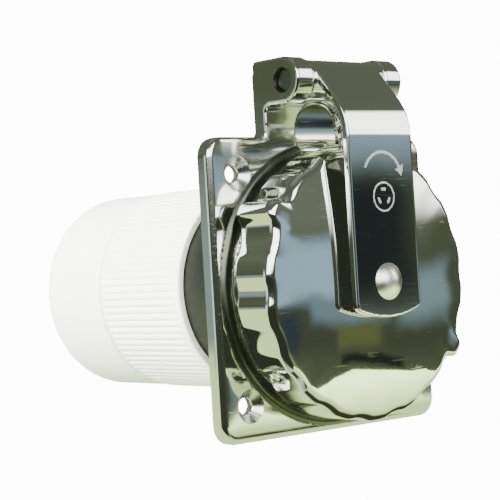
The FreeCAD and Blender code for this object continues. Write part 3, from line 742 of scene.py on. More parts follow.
@dataclass(frozen=True)
class Moulding:
    """A moulded plastic or rubber finish."""

    name: str
    tint: tuple[float, float, float]
    shade: tuple[float, float, float]
    roughness: float
    grain_size: float
    grain_height: float
    sheen: float = 0.0
    depth: float = 0.0

    def build(self) -> bpy.types.Material:
        """Makes the material.

        Returns:
            The material, with its patterns on Object coordinates.
        """
        material = bpy.data.materials.new(self.name)
        material.use_nodes = True
        graph = Graph(material.node_tree)
        grain = graph.add("Group", node_tree=GRAIN)
        grain.inputs["Grain Size"].default_value = self.grain_size * MM
        grain.inputs["Mottle Size"].default_value = 15 * MM
        colour = graph.blend(grain.outputs["Mottle"], (*self.shade, 1), (*self.tint, 1))
        rough = graph.maths("MULTIPLY_ADD", grain.outputs["Mottle"], 0.12, self.roughness)
        bump = graph.add("Bump", {"Height": grain.outputs["Grain"], "Strength": 0.5,
                                  "Distance": self.grain_height * MM})
        shader = graph.add("BsdfPrincipled", {"Base Color": colour, "Roughness": rough,
                                              "Normal": bump.outputs["Normal"]})
        shader.inputs["Subsurface Weight"].default_value = self.depth
        shader.inputs["Subsurface Radius"].default_value = (2 * MM, 2 * MM, 1.6 * MM)
        shader.inputs["Subsurface Scale"].default_value = 1.0
        shader.inputs["Sheen Weight"].default_value = self.sheen
        graph.add("OutputMaterial", {"Surface": shader.outputs[0]})
        return material


class Finish(Enum):
    """The finishes of this inlet."""

    CAST_POLISHED = Metal("cast_polished", (0.78, 0.79, 0.75), (0.70, 0.71, 0.67), 0.075, 16.0, 0.05, 0.7,
                          0.10, cast=True)
    SHEET_POLISHED = Metal("sheet_polished", (0.80, 0.80, 0.77), (0.74, 0.74, 0.71), 0.035, 22.0, 0.03, 0.6,
                           0.08)
    STRAP_POLISHED = Metal("strap_polished", (0.80, 0.80, 0.77), (0.74, 0.74, 0.71), 0.035, 22.0, 0.03, 0.6,
                           0.045, marked=True)
    SATIN = Metal("satin_steel", (0.90, 0.91, 0.87), (0.83, 0.84, 0.80), 0.30, 4.0, 0.05, 0.4, 0.12)
    MACHINED = Metal("machined", (0.66, 0.66, 0.63), (0.55, 0.55, 0.53), 0.22, 6.0, 0.01, 0.4, 0.15)
    PIN_STEEL = Metal("pin_steel", (0.26, 0.27, 0.25), (0.20, 0.21, 0.19), 0.30, 6.0, 0.01, 0.4, 0.15)
    BRASS = Metal("contact_brass", (0.88, 0.68, 0.36), (0.80, 0.60, 0.30), 0.30, 9.0, 0.002, 2.5, 0.02)
    BLACK_MOULDING = Moulding("black_moulding", (0.0068, 0.0078, 0.0064), (0.0044, 0.0050, 0.0040),
                              0.38, 0.5, 0.02)
    WHITE_NYLON = Moulding("white_nylon", (0.86, 0.885, 0.81), (0.80, 0.83, 0.74), 0.34, 0.9, 0.01,
                           depth=0.12)
    RUBBER = Moulding("seal_rubber", (0.028, 0.028, 0.027), (0.018, 0.018, 0.018), 0.62, 0.35, 0.03,
                      sheen=0.15)

    def material(self) -> bpy.types.Material:
        """The finish's material, made on first use."""
        return bpy.data.materials.get(self.value.name) or self.value.build()


class Body(Enum):
    """The frame's rigid bodies."""

    INLET = "inlet"
    LID_ARM = "lid_arm"
    LID_CAP = "lid_cap"
    REAR_CAP = "rear_cap"
    CLAMP = "clamp"
    LOCKING_RING = "locking_ring"


def fit(piece: bpy.types.Object, body: Body, finish: Finish, slot: str, *nodes: str) -> bpy.types.Object:
    """Gives a new piece its body and finish, and hides the frame nodes that it stands for.

    Args:
        piece: The new object.
        body: The rigid body that it rides on.
        finish: Its finish.
        slot: Not used.
        *nodes: Frame nodes that it replaces.

    Returns:
        The same piece.
    """
    piece.data.materials.clear()
    piece.data.materials.append(finish.material())
    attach(piece, body.value)
    if nodes:
        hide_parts(*nodes)
    log.info("%s: %d faces on %s", piece.name, len(piece.data.polygons), body.value)
    return piece


# ---------------------------------------------------------------------------------------------
# Sub-assemblies
# ---------------------------------------------------------------------------------------------


@dataclass
class Flange:
    """Cast flange with its boss and hinge tower, and the gasket in its back."""

    half_side: float = field(default_factory=lambda: node_span("mounting_flange")[1][0])
    front: float = -5.0
    corner: float = 6.0
    edge_round: float = 2.1
    screw_place: float = SCREW_PLACE
    screw_hole: float = 2.6
    screw_sink: float = 5.2
    boss_outer: float = 44.2
    boss_inner: float = 43.2
    boss_front: float = -6.0
    bore: float = 31.3
    seat: float = 39.05
    seat_back: float = -5.5
    rim: float = 3.0
    recess: float = 1.6
    hinge_depth: float = HINGE_DEPTH
    hinge_height: float = HINGE_HEIGHT
    knuckle: float = 7.0
    ear_outer: float = 22.4
    ear_inner: float = 15.2
    ear_bore: float = 3.65
    tower_foot: float = 30.0
    tower_top: float = 66.0
    ear_fillet: float = 2.2
    casting_round: float = 0.9
    back_round: float = 1.8
    crown: float = 0.42
    crown_reach: float = 2.4
    scoop_radius: float = 45.0
    scoop_floor: float = -3.2
    scoop_height: float = 48.0
    scoop_foot: float = 41.8
    scoop_fillet: float = 4.6
    scoop_half: float = 9.9
    scoop_spring: float = 47.0
    scoop_round: float = 0.7
    tower_corner: float = 1.2
    tower_fillet: float = 2.0
    crown_top: float = 50.0
    crown_fade: float = 6.0
    soft_top: float = 48.0
    soft_fade: float = 5.0
    ear_sink: float = 0.02
    ear_rise: float = 15.0
    boss_round: float = 0.4
    gasket_eye: float = 38.5
    gasket_corner: float = 1.9
    gasket_round: float = 0.15
    grid: float = 0.56
    gasket_grid: float = 0.8

    def plate(self, x: np.ndarray, y: np.ndarray, z: np.ndarray) -> np.ndarray:
        """Distance outside the plate and the tower's wall.

        Their outlines are joined by a fillet and share one front face. Polishing has worn that
        face down towards the edge by crown exp(distance from the edge / reach), and the edge is
        rounder on the plate than on the tower.

        Args:
            x: Places across.
            y: Places along the inlet's axis.
            z: Heights.

        Returns:
            The signed distance.
        """
        square = rounded_square(x, z, self.half_side, self.corner)
        wall = both(both(np.abs(x) - self.ear_outer, z - self.tower_top, self.tower_corner),
                    self.tower_foot - z)
        outline = either(square, wall, self.tower_fillet)
        worn = self.crown * np.exp(np.minimum(outline, 0) / self.crown_reach)
        worn = worn * np.clip((self.crown_top - z) / self.crown_fade, 0, 1)
        on_plate = np.clip((self.soft_top - z) / self.soft_fade, 0, 1)
        soft = self.casting_round + (self.edge_round - self.casting_round) * on_plate
        return both(outline, self.front + worn - y, soft)

    def ears(self, x: np.ndarray, y: np.ndarray, z: np.ndarray) -> np.ndarray:
        """Distance outside the two ears.

        The side view is a half-round nose with a block behind it, joined to the wall by a fillet
        under the block and rounded at its upper back corner.

        Args:
            x: Places across.
            y: Places along the inlet's axis.
            z: Heights.

        Returns:
            The signed distance.
        """
        top, foot = self.hinge_height + self.knuckle, self.hinge_height - self.knuckle
        block = both(slab(z, foot, top), self.hinge_depth - y)
        nose = np.hypot(y - self.hinge_depth, z - self.hinge_height) - self.knuckle
        wall = np.maximum(self.front + self.ear_sink - y, z - self.tower_top)
        side = both(either(np.minimum(block, nose), wall, self.ear_fillet), y, self.back_round)
        ears = both(slab(np.abs(x), self.ear_inner, self.ear_outer), side, self.casting_round)
        return both(ears, self.tower_foot + self.ear_rise - z)

    def scoop(self, x: np.ndarray, y: np.ndarray, z: np.ndarray) -> np.ndarray:
        """Distance outside the space of the scoop in the wall's foot.

        Its floor is a slightly hollow cylinder along X, which sweeps forward through a fillet to
        the boss's front, and its outline is an arch.

        Args:
            x: Places across.
            y: Places along the inlet's axis.
            z: Heights.

        Returns:
            The signed distance.
        """
        axis = self.scoop_floor - self.scoop_radius
        hollow = np.hypot(y - axis, z - self.scoop_height) - self.scoop_radius
        space = both(hollow, self.scoop_foot - z, self.scoop_fillet)
        arch = np.hypot(x, np.maximum(z - self.scoop_spring, 0)) - self.scoop_half
        return both(space, arch, self.scoop_round)

    def solid(self, x: np.ndarray, y: np.ndarray, z: np.ndarray) -> np.ndarray:
        """Distance outside the casting: plate, low boss and ears, less the scoop, bores, seat,
        gasket recess, pin hole and countersunk screw holes.

        Args:
            x: Places across.
            y: Places along the inlet's axis.
            z: Heights.

        Returns:
            The signed distance.
        """
        radius = np.hypot(x, z)
        slant = math.atan2(self.boss_outer - self.boss_inner, self.front - self.boss_front)
        cone = (radius - self.boss_outer) * math.cos(slant) + (self.front - y) * math.sin(slant)
        boss = np.maximum(both(cone, self.boss_front - y, self.boss_round), radius - self.boss_outer)
        casting = without(np.minimum(self.plate(x, y, z), boss), self.scoop(x, y, z), self.scoop_round)
        casting = np.minimum(casting, self.ears(x, y, z))
        casting = both(casting, y)
        casting = without(casting, radius - self.bore)
        casting = without(casting, np.maximum(radius - self.seat, y - self.seat_back))
        inside = self.half_side - self.rim
        casting = without(casting, np.maximum(rounded_square(x, z, inside, self.edge_round),
                                              -self.recess - y))
        pin = np.hypot(y - self.hinge_depth, z - self.hinge_height)
        casting = without(casting, pin - self.ear_bore)
        hole = np.hypot(np.abs(x) - self.screw_place, np.abs(z) - self.screw_place)
        sink = (hole - self.screw_sink + (y - self.front)) * math.sqrt(0.5)
        return without(without(casting, hole - self.screw_hole), sink)

    def build(self) -> None:
        """Builds the casting and the gasket."""
        low, high = node_span("mounting_flange")
        casting = contoured("flange_casting", self.solid, low, high, self.grid)
        fit(casting, Body.INLET, Finish.CAST_POLISHED, "steel_polished", "mounting_flange")
        low, high = node_span("flange_gasket")
        half = high[0]

        def sheet(x: np.ndarray, y: np.ndarray, z: np.ndarray) -> np.ndarray:
            """Square sheet with a round eye and four screw holes.

            Args:
                x: Places across.
                y: Places along the inlet's axis.
                z: Heights.

            Returns:
                The signed distance.
            """
            flat = both(rounded_square(x, z, half, self.gasket_corner), slab(y, low[1], high[1]),
                        self.gasket_round)
            flat = without(flat, np.hypot(x, z) - self.gasket_eye)
            return without(flat, np.hypot(np.abs(x) - self.screw_place,
                                          np.abs(z) - self.screw_place) - self.screw_hole)

        gasket = contoured("gasket_sheet", sheet, low, high, self.gasket_grid)
        fit(gasket, Body.INLET, Finish.RUBBER, "rubber", "flange_gasket")


@dataclass
class Lid:
    """Hinge pin, strap, rivet and the round cap."""

    strap_front: float = -31.4
    strap_thick: float = 2.5
    strap_half: float = 13.74
    strap_end: float = 34.0
    strap_end_height: float = 23.2
    eye_outer: float = 6.25
    eye_bore: float = 3.65
    eye_half: float = field(default_factory=lambda: node_span("lid_arm")[1][0])
    hinge_depth: float = HINGE_DEPTH
    hinge_height: float = HINGE_HEIGHT
    bend: float = 19.0
    forward: float = 0.768
    upward: float = 0.640
    pin_radius: float = 3.6
    rivet_head: float = 5.6
    rivet_shank: float = 2.5
    cap_radius: float = 42.4
    cap_inner: float = 40.4
    cap_rim: float = -9.0
    cap_corner: float = 3.0
    cap_corner_place: float = -21.285
    cap_centre: float = -26.4
    cap_wall: float = 1.6
    dome_radius: float = 371.0
    scallops: int = 18
    scallop_phase: float = 1.0
    scallop_radius: float = 14.0
    scallop_reach: float = 55.6
    lug_angle: float = 148.0
    lug_height: float = 3.5
    dimple_angle: float = 39.0
    dimple_place: float = -14.4
    strap_corner: float = 1.8
    strap_round: float = 0.6
    eye_round: float = 0.5
    strap_grid: float = 0.46
    tail_front: float = -23.7
    tail_radius: float = 4.2
    rim_round: float = 0.8
    scallop_soft: float = 0.22
    fade_start: float = 26.0
    fade_power: float = 2.4
    lug_half: float = 4.4
    corner_start: float = 37.2
    corner_fade: float = 3.0
    dimple_size: float = 4.6
    channel_depth: float = 0.35
    channel_half: float = 1.6
    channel_fade: float = 0.5
    seal_inner: float = 33.8
    pin_corner: float = 0.8

    def strap_solid(self, x: np.ndarray, y: np.ndarray, z: np.ndarray) -> np.ndarray:
        """Distance outside the strap.

        In the side view its front is the rounded corner between a vertical face and a slope that
        is tangent to the rolled eye, its back is the same corner one thickness further in, and
        the eye is a tube round the pin. The flat run ends in a shallow arc.

        Args:
            x: Places across.
            y: Places along the inlet's axis.
            z: Heights.

        Returns:
            The signed distance.
        """
        slope = -(y - self.hinge_depth) * self.forward + (z - self.hinge_height) * self.upward
        front = bent(self.strap_front - y, slope - self.eye_outer, self.forward, self.bend)
        back = bent(self.strap_front + self.strap_thick - y, slope - self.eye_outer + self.strap_thick,
                    self.forward, self.bend - self.strap_thick)
        along = (y - self.hinge_depth) * self.upward + (z - self.hinge_height) * self.forward
        sheet = np.maximum(np.maximum(front, -back), along)
        from_middle = z - self.strap_end_height
        end = np.where(from_middle > 0, np.abs(x), np.hypot(x, from_middle)) - self.strap_end
        outline = both(np.abs(x) - self.strap_half, end, self.strap_corner)
        strap = both(sheet, outline, self.strap_round)
        tube = np.hypot(y - self.hinge_depth, z - self.hinge_height)
        roll = both(tube - self.eye_outer, np.abs(x) - self.eye_half, self.eye_round)
        strap = without(either(strap, roll, self.eye_round), tube - self.eye_bore)
        return without(strap, np.hypot(x, z) - self.rivet_shank)

    def cap_line(self, depth: float, skirt: float) -> np.ndarray:
        """Side view of one face of the cap, from the rim to the rivet hole.

        The corner is an arc of radius R - depth that is tangent to the skirt, and the dome is an
        arc about a point on the axis, the dome's radius behind the cap's centre.

        Args:
            depth: Distance of the face below the cap's outer face.
            skirt: Radius of the face at the skirt.

        Returns:
            Rows of (place along Y, radius).
        """
        bend = self.cap_corner - depth
        tilt = math.asin((self.cap_radius - self.cap_corner) / (self.dome_radius - self.cap_corner))
        turn = np.linspace(0, HALF_PI - tilt, 15)
        corner = np.stack([self.cap_corner_place - bend * np.sin(turn),
                           self.cap_radius - self.cap_corner + bend * np.cos(turn)], axis=1)
        run = np.linspace(self.cap_rim - self.rim_round, self.cap_corner_place + 0.4, 11)
        side = np.stack([run, np.full(len(run), skirt)], axis=1)
        radius = np.linspace(corner[-1, 1] - 0.4, self.rivet_shank + 0.1, 34)
        shell = self.dome_radius - depth
        place = self.cap_centre + self.dome_radius - np.sqrt(shell ** 2 - radius ** 2)
        dome = np.stack([place, radius], axis=1)
        return np.vstack([side, corner, dome])

    def cap_swell(self, y: np.ndarray, r: np.ndarray, angle: np.ndarray) -> np.ndarray:
        """Growth of the cap's radius: scallops, thumb lugs and pressed dimples.

        A scallop is a cylinder of radius R whose axis is D out; at the angle a from its own
        direction its near wall is D cos a - sqrt(R^2 - (D sin a)^2) from the cap's axis, and a
        soft minimum with the cap's radius rounds its edges. A lug is a flat-topped hump in the
        angle. A dimple is a deep round hollow with a shallow channel from it to the rim. All fade
        out over the dome.

        Args:
            y: Places along the axis.
            r: Radii before the swell.
            angle: Angles about the axis.

        Returns:
            The change of radius.
        """
        step = 360 / self.scallops
        off = np.radians((np.degrees(angle) - self.scallop_phase + step / 2) % step - step / 2)
        inner = np.maximum(self.scallop_radius ** 2 - (self.scallop_reach * np.sin(off)) ** 2, 0)
        gap = self.scallop_reach * np.cos(off) - np.sqrt(inner) - self.cap_radius
        scallop = -self.scallop_soft * np.log1p(np.exp(-gap / self.scallop_soft))
        fade = np.clip((r - self.fade_start) / (self.cap_radius - self.fade_start), 0, 1) ** self.fade_power

        def from_angle(place: float) -> np.ndarray:
            """Distance in degrees from an angle or from the one opposite."""
            return np.abs((np.degrees(angle) - place + 90) % 180 - 90)

        lug = self.lug_height / (1 + (from_angle(self.lug_angle) / self.lug_half) ** 6)
        over_corner = np.clip((r - self.corner_start) / self.corner_fade, 0, 1)
        turn = from_angle(self.dimple_angle) * math.radians(self.cap_radius)
        round_hollow = 1.0 / (1 + ((turn ** 2 + (y - self.dimple_place) ** 2) / self.dimple_size) ** 4)
        channel = self.channel_depth / (1 + (turn / self.channel_half) ** 6)
        channel = channel / (1 + np.exp((self.dimple_place - y) / self.channel_fade))
        return fade * scallop + over_corner * (lug - np.maximum(round_hollow, channel))

    def build(self) -> None:
        """Builds the pin, strap, rivet, cap and seal, in that order."""
        self.pin()
        self.strap()
        self.rivet()
        self.cap()
        self.seal()

    def strap(self) -> None:
        """Builds the strap."""
        low, high = node_span("lid_arm")
        strap = contoured("strap_sheet", self.strap_solid, low, high, self.strap_grid)
        fit(strap, Body.LID_ARM, Finish.STRAP_POLISHED, "steel_polished", "lid_arm")

    def rivet(self) -> None:
        """Builds the rivet: a low dome that is an arc of radius (h^2 + w^2) / 2h, and a tail."""
        low, high = node_span("lid_rivet")
        head = self.strap_front - low[1]
        bow = (head ** 2 + self.rivet_head ** 2) / (2 * head)
        share = np.linspace(0, math.asin(self.rivet_head / bow), 20)
        dome = np.stack([low[1] + bow * (1 - np.cos(share)), bow * np.sin(share)], axis=1)
        shank = rounded([(self.strap_front, self.rivet_head, 0), (self.strap_front, self.rivet_shank, 0),
                         (self.tail_front, self.rivet_shank, 0), (self.tail_front, self.tail_radius, 0.3),
                         (high[1], self.tail_radius, 0.4), (high[1], 0, 0)], closed=False)
        rivet = turned("rivet_body", np.vstack([dome, shank[1:]]), 96)
        fit(rivet, Body.LID_ARM, Finish.SATIN, "steel_polished", "lid_rivet")

    def cap(self) -> None:
        """Builds the cap: its outer line, its inner line and a half-round rim between them."""
        outer = self.cap_line(0, self.cap_radius)
        inner = self.cap_line(self.cap_wall, self.cap_inner)
        turn = np.linspace(0.15, 0.85, 6) * math.pi
        middle, half = (self.cap_radius + self.cap_inner) / 2, (self.cap_radius - self.cap_inner) / 2
        rim = np.stack([self.cap_rim - self.rim_round + self.rim_round * np.sin(turn),
                        middle - half * np.cos(turn)], axis=1)
        cap = turned("cap_shell", np.vstack([outer, inner[::-1], rim]), 720, self.cap_swell)
        fit(cap, Body.LID_CAP, Finish.SHEET_POLISHED, "steel_polished", "lid_cap")

    def seal(self) -> None:
        """Builds the seal in the cap."""
        low, high = node_span("lid_gasket")
        ring = rounded([(low[1], self.seal_inner, 0.5), (low[1], high[0], 0.5), (high[1], high[0], 0.8),
                        (high[1], self.seal_inner, 0.8)])
        seal = turned("cap_seal", ring, 200)
        fit(seal, Body.LID_CAP, Finish.RUBBER, "rubber", "lid_gasket")

    def pin(self) -> None:
        """Builds the hinge pin: a rod along X with rounded ends.

        Its side view (x, r) is turned about the hinge's axis, and each end closes on a point.
        """
        high = node_span("hinge_pin")[1][0]
        side = rounded([(-high, 0, 0), (-high, self.pin_radius, self.pin_corner),
                        (high, self.pin_radius, self.pin_corner), (high, 0, 0)], closed=False)[1:-1]
        count = 72
        angle = np.linspace(0, 2 * math.pi, count, endpoint=False)[None, :]
        x, r = side[:, 0][:, None], side[:, 1][:, None]
        rows = np.stack([x + 0 * angle, self.hinge_depth + r * np.cos(angle),
                         self.hinge_height + r * np.sin(angle)], axis=-1).reshape(-1, 3)
        tips = np.array([[end, self.hinge_depth, self.hinge_height] for end in (-high, high)])
        here = np.arange(count)
        there = (here + 1) % count
        tail = (len(side) - 1) * count
        first, last = np.full(count, len(rows)), np.full(count, len(rows) + 1)
        faces = np.vstack([grid_faces(len(side), count, False, True),
                           np.stack([there, here, first, first], axis=-1),
                           np.stack([tail + here, tail + there, last, last], axis=-1)])
        rod = mesh_object("pin_rod", np.vstack([rows, tips]), faces)
        fit(rod, Body.INLET, Finish.PIN_STEEL, "steel_plain", "hinge_pin")


@dataclass
class RearCover:
    """Black sleeve, ribbed white ring, smooth white end cap and the parts at its end."""

    ribs: int = 90
    rib_depth: float = 0.5
    rib_inside: float = 32.0
    body_bore: float = 28.0
    shoulder: float = 34.2
    shoulder_back: float = -9.05
    body_outer: float = 31.0
    web_bore: float = 22.0
    web_front: float = 16.0
    web_back: float = 19.0
    ring_bore: float = 31.08
    ring_outer: float = 33.55
    lip_bore: float = 29.4
    lip_front: float = 64.3
    cap_front: float = 60.0
    cap_bore: float = 26.0
    collar_outer: float = 30.8
    collar_back: float = 64.0
    neck: float = 29.1
    neck_back: float = 71.6
    cap_outer: float = 33.2
    cap_dome: float = 7.0
    cap_hole: float = 12.1
    cap_end: float = 100.8
    cord_bore: float = 8.0
    bush_flange: float = 15.0
    bush_step: float = 100.75
    bush_neck: float = 12.0
    nut_bore: float = 31.05
    nut_outer: float = 37.0
    notch_depth: float = 2.0
    seam_height: float = 0.05

    def rib_swell(self, y: np.ndarray, r: np.ndarray, angle: np.ndarray) -> np.ndarray:
        """Ribs of the ring: narrow valleys between flat tops, outside and short of both ends.

        Args:
            y: Places along the axis.
            r: Radii before the swell.
            angle: Angles about the axis.

        Returns:
            The change of radius.
        """
        low, high = node_span("locking_ring")
        wave = 0.5 - 0.5 * np.cos(self.ribs * angle)
        valley = (1 - wave) ** 3
        start, end = low[1] + 2.2, high[1] - 1.8
        fade = np.clip((y - start) / 0.9, 0, 1) * np.clip((end - y) / 1.5, 0, 1)
        outside = (r > self.rib_inside).astype(float)
        return -self.rib_depth * valley * fade * outside

    def build(self) -> None:
        """Builds the sleeve, ring, end cap, grommet and nut."""
        low, high = node_span("inlet_body")
        sleeve = rounded([(low[1], self.body_bore, 0.4), (low[1], self.shoulder, 0.4),
                          (self.shoulder_back, self.shoulder, 0.3),
                          (self.shoulder_back, self.body_outer, 0.2), (high[1], self.body_outer, 0.5),
                          (high[1], self.body_bore, 0.3), (self.web_back, self.body_bore, 0.2),
                          (self.web_back, self.web_bore, 0.3), (self.web_front, self.web_bore, 0.3),
                          (self.web_front, self.body_bore, 0.2)])
        body = turned("sleeve_body", sleeve, 200, self.seam_swell)
        fit(body, Body.INLET, Finish.BLACK_MOULDING, "black_plastic", "inlet_body")
        low, high = node_span("locking_ring")
        ring = rounded([(low[1], self.ring_bore, 0.5), (low[1], self.ring_outer, 0.7),
                        (high[1], self.ring_outer, 2.4), (high[1], self.lip_bore, 0.4),
                        (self.lip_front, self.lip_bore, 0.4), (self.lip_front, self.ring_bore, 0.2)],
                       spacing=1.5)
        piece = turned("ring_shell", ring, self.ribs * 8, self.rib_swell)
        fit(piece, Body.LOCKING_RING, Finish.WHITE_NYLON, "white_plastic", "locking_ring")
        low, high = node_span("rear_cap")
        shell = rounded([(self.cap_front, self.cap_bore, 0.3), (self.cap_front, self.collar_outer, 0.4),
                         (self.collar_back, self.collar_outer, 0.4), (self.collar_back, self.neck, 0.3),
                         (self.neck_back, self.neck, 0.2), (self.neck_back, self.cap_outer, 1.7),
                         (high[1], self.cap_outer, self.cap_dome), (high[1], self.cap_hole, 0.4),
                         (self.cap_end, self.cap_hole, 0.3), (self.cap_end, self.cap_bore, 1.5)], steps=10)
        cap = turned("end_cap_shell", shell, 240)
        fit(cap, Body.REAR_CAP, Finish.WHITE_NYLON, "white_plastic", "rear_cap")
        low, high = node_span("cable_grommet")
        bush = rounded([(low[1], self.cord_bore, 0.6), (low[1], self.bush_flange, 0.5),
                        (self.bush_step, self.bush_flange, 0.3), (self.bush_step, self.bush_neck, 0.2),
                        (high[1], self.bush_neck, 0.3), (high[1], self.cord_bore, 0.6)])
        piece = turned("grommet_bush", bush, 120)
        fit(piece, Body.REAR_CAP, Finish.RUBBER, "rubber", "cable_grommet")
        low, high = node_span("body_nut")
        nut = rounded([(low[1], self.nut_bore, 0.3), (low[1], self.nut_outer, 0.4),
                       (high[1], self.nut_outer, 0.5), (high[1], self.nut_bore, 0.3)], spacing=0.6)
        piece = turned("nut_ring", nut, 320, self.notch_swell)
        fit(piece, Body.INLET, Finish.BLACK_MOULDING, "black_plastic", "body_nut")

    def seam_swell(self, y: np.ndarray, r: np.ndarray, angle: np.ndarray) -> np.ndarray:
        """Fine parting lines of the sleeve at its left and right.

        Args:
            y: Places along the axis.
            r: Radii before the swell.
            angle: Angles about the axis.

        Returns:
            The change of radius.
        """
        to_seam = np.degrees(np.abs((angle + HALF_PI) % math.pi - HALF_PI))
        outside = ((r > 30.5) & (y > -8)).astype(float)
        return self.seam_height * np.exp(-(to_seam / 0.9) ** 2) * outside

    def notch_swell(self, y: np.ndarray, r: np.ndarray, angle: np.ndarray) -> np.ndarray:
        """Eight wrench notches in the rear half of the nut.

        Args:
            y: Places along the axis.
            r: Radii before the swell.
            angle: Angles about the axis.

        Returns:
            The change of radius.
        """
        to_notch = np.abs((np.degrees(angle) + 22.5) % 45 - 22.5)
        inside = 1 / (1 + (to_notch / 3.9) ** 12)
        rear = np.clip((y - 3.4) / 0.3, 0, 1) * (r > 34)
        return -self.notch_depth * inside * rear


@dataclass
class Contacts:
    """Collar, and the small parts that keep their frame shape."""

    collar_outer: float = 39.0
    collar_inner: float = 34.5
    foot_bore: float = 31.3
    collar_back: float = -5.5
    foot_front: float = -8.0
    entry_angle: float = 39.0
    entry_half: float = 8.0
    entry_back: float = -10.6
    leg_angle: float = 25.0
    leg_half: float = 22.0
    leg_place: float = -14.0
    leg_wide: float = 3.4
    slot_floor: float = 37.2

    def build(self) -> None:
        """Builds the collar and dresses the kept nodes."""
        low, high = node_span("front_collar")

        def collar(x: np.ndarray, y: np.ndarray, z: np.ndarray) -> np.ndarray:
            """Stepped ring with two L-shaped slots for the cap's dimples.

            Args:
                x: Places across.
                y: Places along the inlet's axis.
                z: Heights.

            Returns:
                The signed distance.
            """
            radius = np.hypot(x, z)
            wall = both(slab(radius, self.collar_inner, self.collar_outer),
                        slab(y, low[1], self.collar_back), 0.4)
            base = both(slab(radius, self.foot_bore, self.collar_outer),
                        slab(y, self.foot_front, self.collar_back), 0.15)
            ring = either(wall, base, 0.4)
            turn = np.degrees(np.arctan2(z, x)) % 180
            entry = np.maximum(np.abs(turn - self.entry_angle) - self.entry_half, y - self.entry_back)
            leg = np.maximum(np.abs(turn - self.leg_angle) - self.leg_half,
                             np.abs(y - self.leg_place) - self.leg_wide)
            slot = np.maximum(np.minimum(entry, leg), self.slot_floor - radius)
            return without(ring, slot, 0.2)

        ring = contoured("collar_ring", collar, low, high, 0.6)
        fit(ring, Body.INLET, Finish.CAST_POLISHED, "steel_polished", "front_collar")
        kept = {
            Finish.RUBBER: ("body_seal", "rear_seal"),
            Finish.MACHINED: ("arm_washer", "rivet_washer", "terminal_screws", "carrier_screws",
                              "clamp_screws"),
            Finish.BRASS: ("earth_blade", "line_blade", "neutral_blade", "earth_terminal", "line_terminal",
                           "neutral_terminal"),
            Finish.BLACK_MOULDING: ("contact_carrier", "lower_clamp_jaw", "upper_clamp_jaw"),
        }
        for finish, nodes in kept.items():
            for node in nodes:
                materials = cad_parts[node].data.materials
                materials.clear()
                materials.append(finish.material())
                log.info("%s keeps its frame shape, as %s", node, finish.name)


# ---------------------------------------------------------------------------------------------
# Studio
# ---------------------------------------------------------------------------------------------


def patch_group() -> bpy.types.NodeTree:
    """A soft-edged rectangle on the sky: one inside, zero outside.

    Gap is how far a direction is outside the rectangle in degrees, along azimuth or elevation,
    whichever is greater, and Mask falls from one to zero as it goes from -Soft to +Soft.

    Returns:
        The group's tree.
    """
    sizes = {"Azimuth": 0, "Elevation": 0, "Middle Azimuth": 0, "Middle Elevation": 0, "Half Width": 10,
             "Half Height": 10, "Soft": 1}
    graph = group_tree("sky_patch", sizes, ("Mask",))
    source, sink = graph.tree.nodes["in"].outputs, graph.tree.nodes["out"]
    turn = graph.maths("SUBTRACT", source["Azimuth"], source["Middle Azimuth"])
    turn = graph.maths("WRAP", turn, 180.0, -180.0)
    rise = graph.maths("SUBTRACT", source["Elevation"], source["Middle Elevation"])
    wide = graph.maths("SUBTRACT", graph.maths("ABSOLUTE", turn), source["Half Width"])
    tall = graph.maths("SUBTRACT", graph.maths("ABSOLUTE", rise), source["Half Height"])
    gap = graph.maths("SMOOTH_MAX", wide, tall, source["Soft"])
    minus = graph.maths("MULTIPLY", source["Soft"], -1.0)
    mask = graph.add("MapRange", {"Value": gap, "From Min": minus, "From Max": source["Soft"], "To Min": 1.0,
                                  "To Max": 0.0}, interpolation_type="SMOOTHSTEP")
    graph.tree.links.new(mask.outputs["Result"], sink.inputs["Mask"])
    return graph.tree


@dataclass(frozen=True)
class Patch:
    """A part of the room that the metal mirrors.

    Azimuth 0 is straight ahead of the cap, positive azimuths are towards +X, and all angles are in
    degrees.
    """

    what: str
    azimuth: float
    elevation: float
    half_width: float
    half_height: float
    soft: float
    colour: tuple[float, float, float]


ROOM = (
    Patch("back_left_strip", -136, -3, 30, 6, 2.5, (0.34, 0.42, 0.40)),
    Patch("dark_front_low", -48, -30, 52, 27, 6, (0.030, 0.036, 0.026)),
    Patch("left_window", -98, -2, 11, 12, 4, (1.1, 1.25, 1.3)),
    Patch("front_left_box", -28, 23, 38, 17, 3, (7.0, 7.1, 6.8)),
    Patch("grey_wall", 40, 9, 15, 5, 3, (0.17, 0.20, 0.145)),
    Patch("ceiling_box", 52, 20, 10, 14, 2.2, (5.0, 5.0, 4.7)),
    Patch("blue_above", 44, 4.6, 4, 1.6, 1.2, (0.34, 0.48, 0.60)),
    Patch("blue_left", 34, 0.4, 6.0, 3.2, 1.4, (0.42, 0.62, 0.78)),
    Patch("blue_right", 54, -2.5, 4.5, 2.4, 1.5, (0.24, 0.36, 0.40)),
    Patch("blue_below", 41, -3.9, 6.6, 1.1, 0.9, (0.19, 0.29, 0.34)),
    Patch("dark_middle", 44.0, 0.2, 3.2, 2.2, 0.8, (0.012, 0.017, 0.020)),
    Patch("olive_mat", 43, -6.3, 3.4, 1.3, 0.8, (0.13, 0.155, 0.055)),
    Patch("navy_bag", 30, -6.4, 2.2, 2.2, 0.9, (0.035, 0.05, 0.065)),
    Patch("black_edge", 45, -8.9, 5.0, 0.5, 0.35, (0.012, 0.015, 0.012)),
)


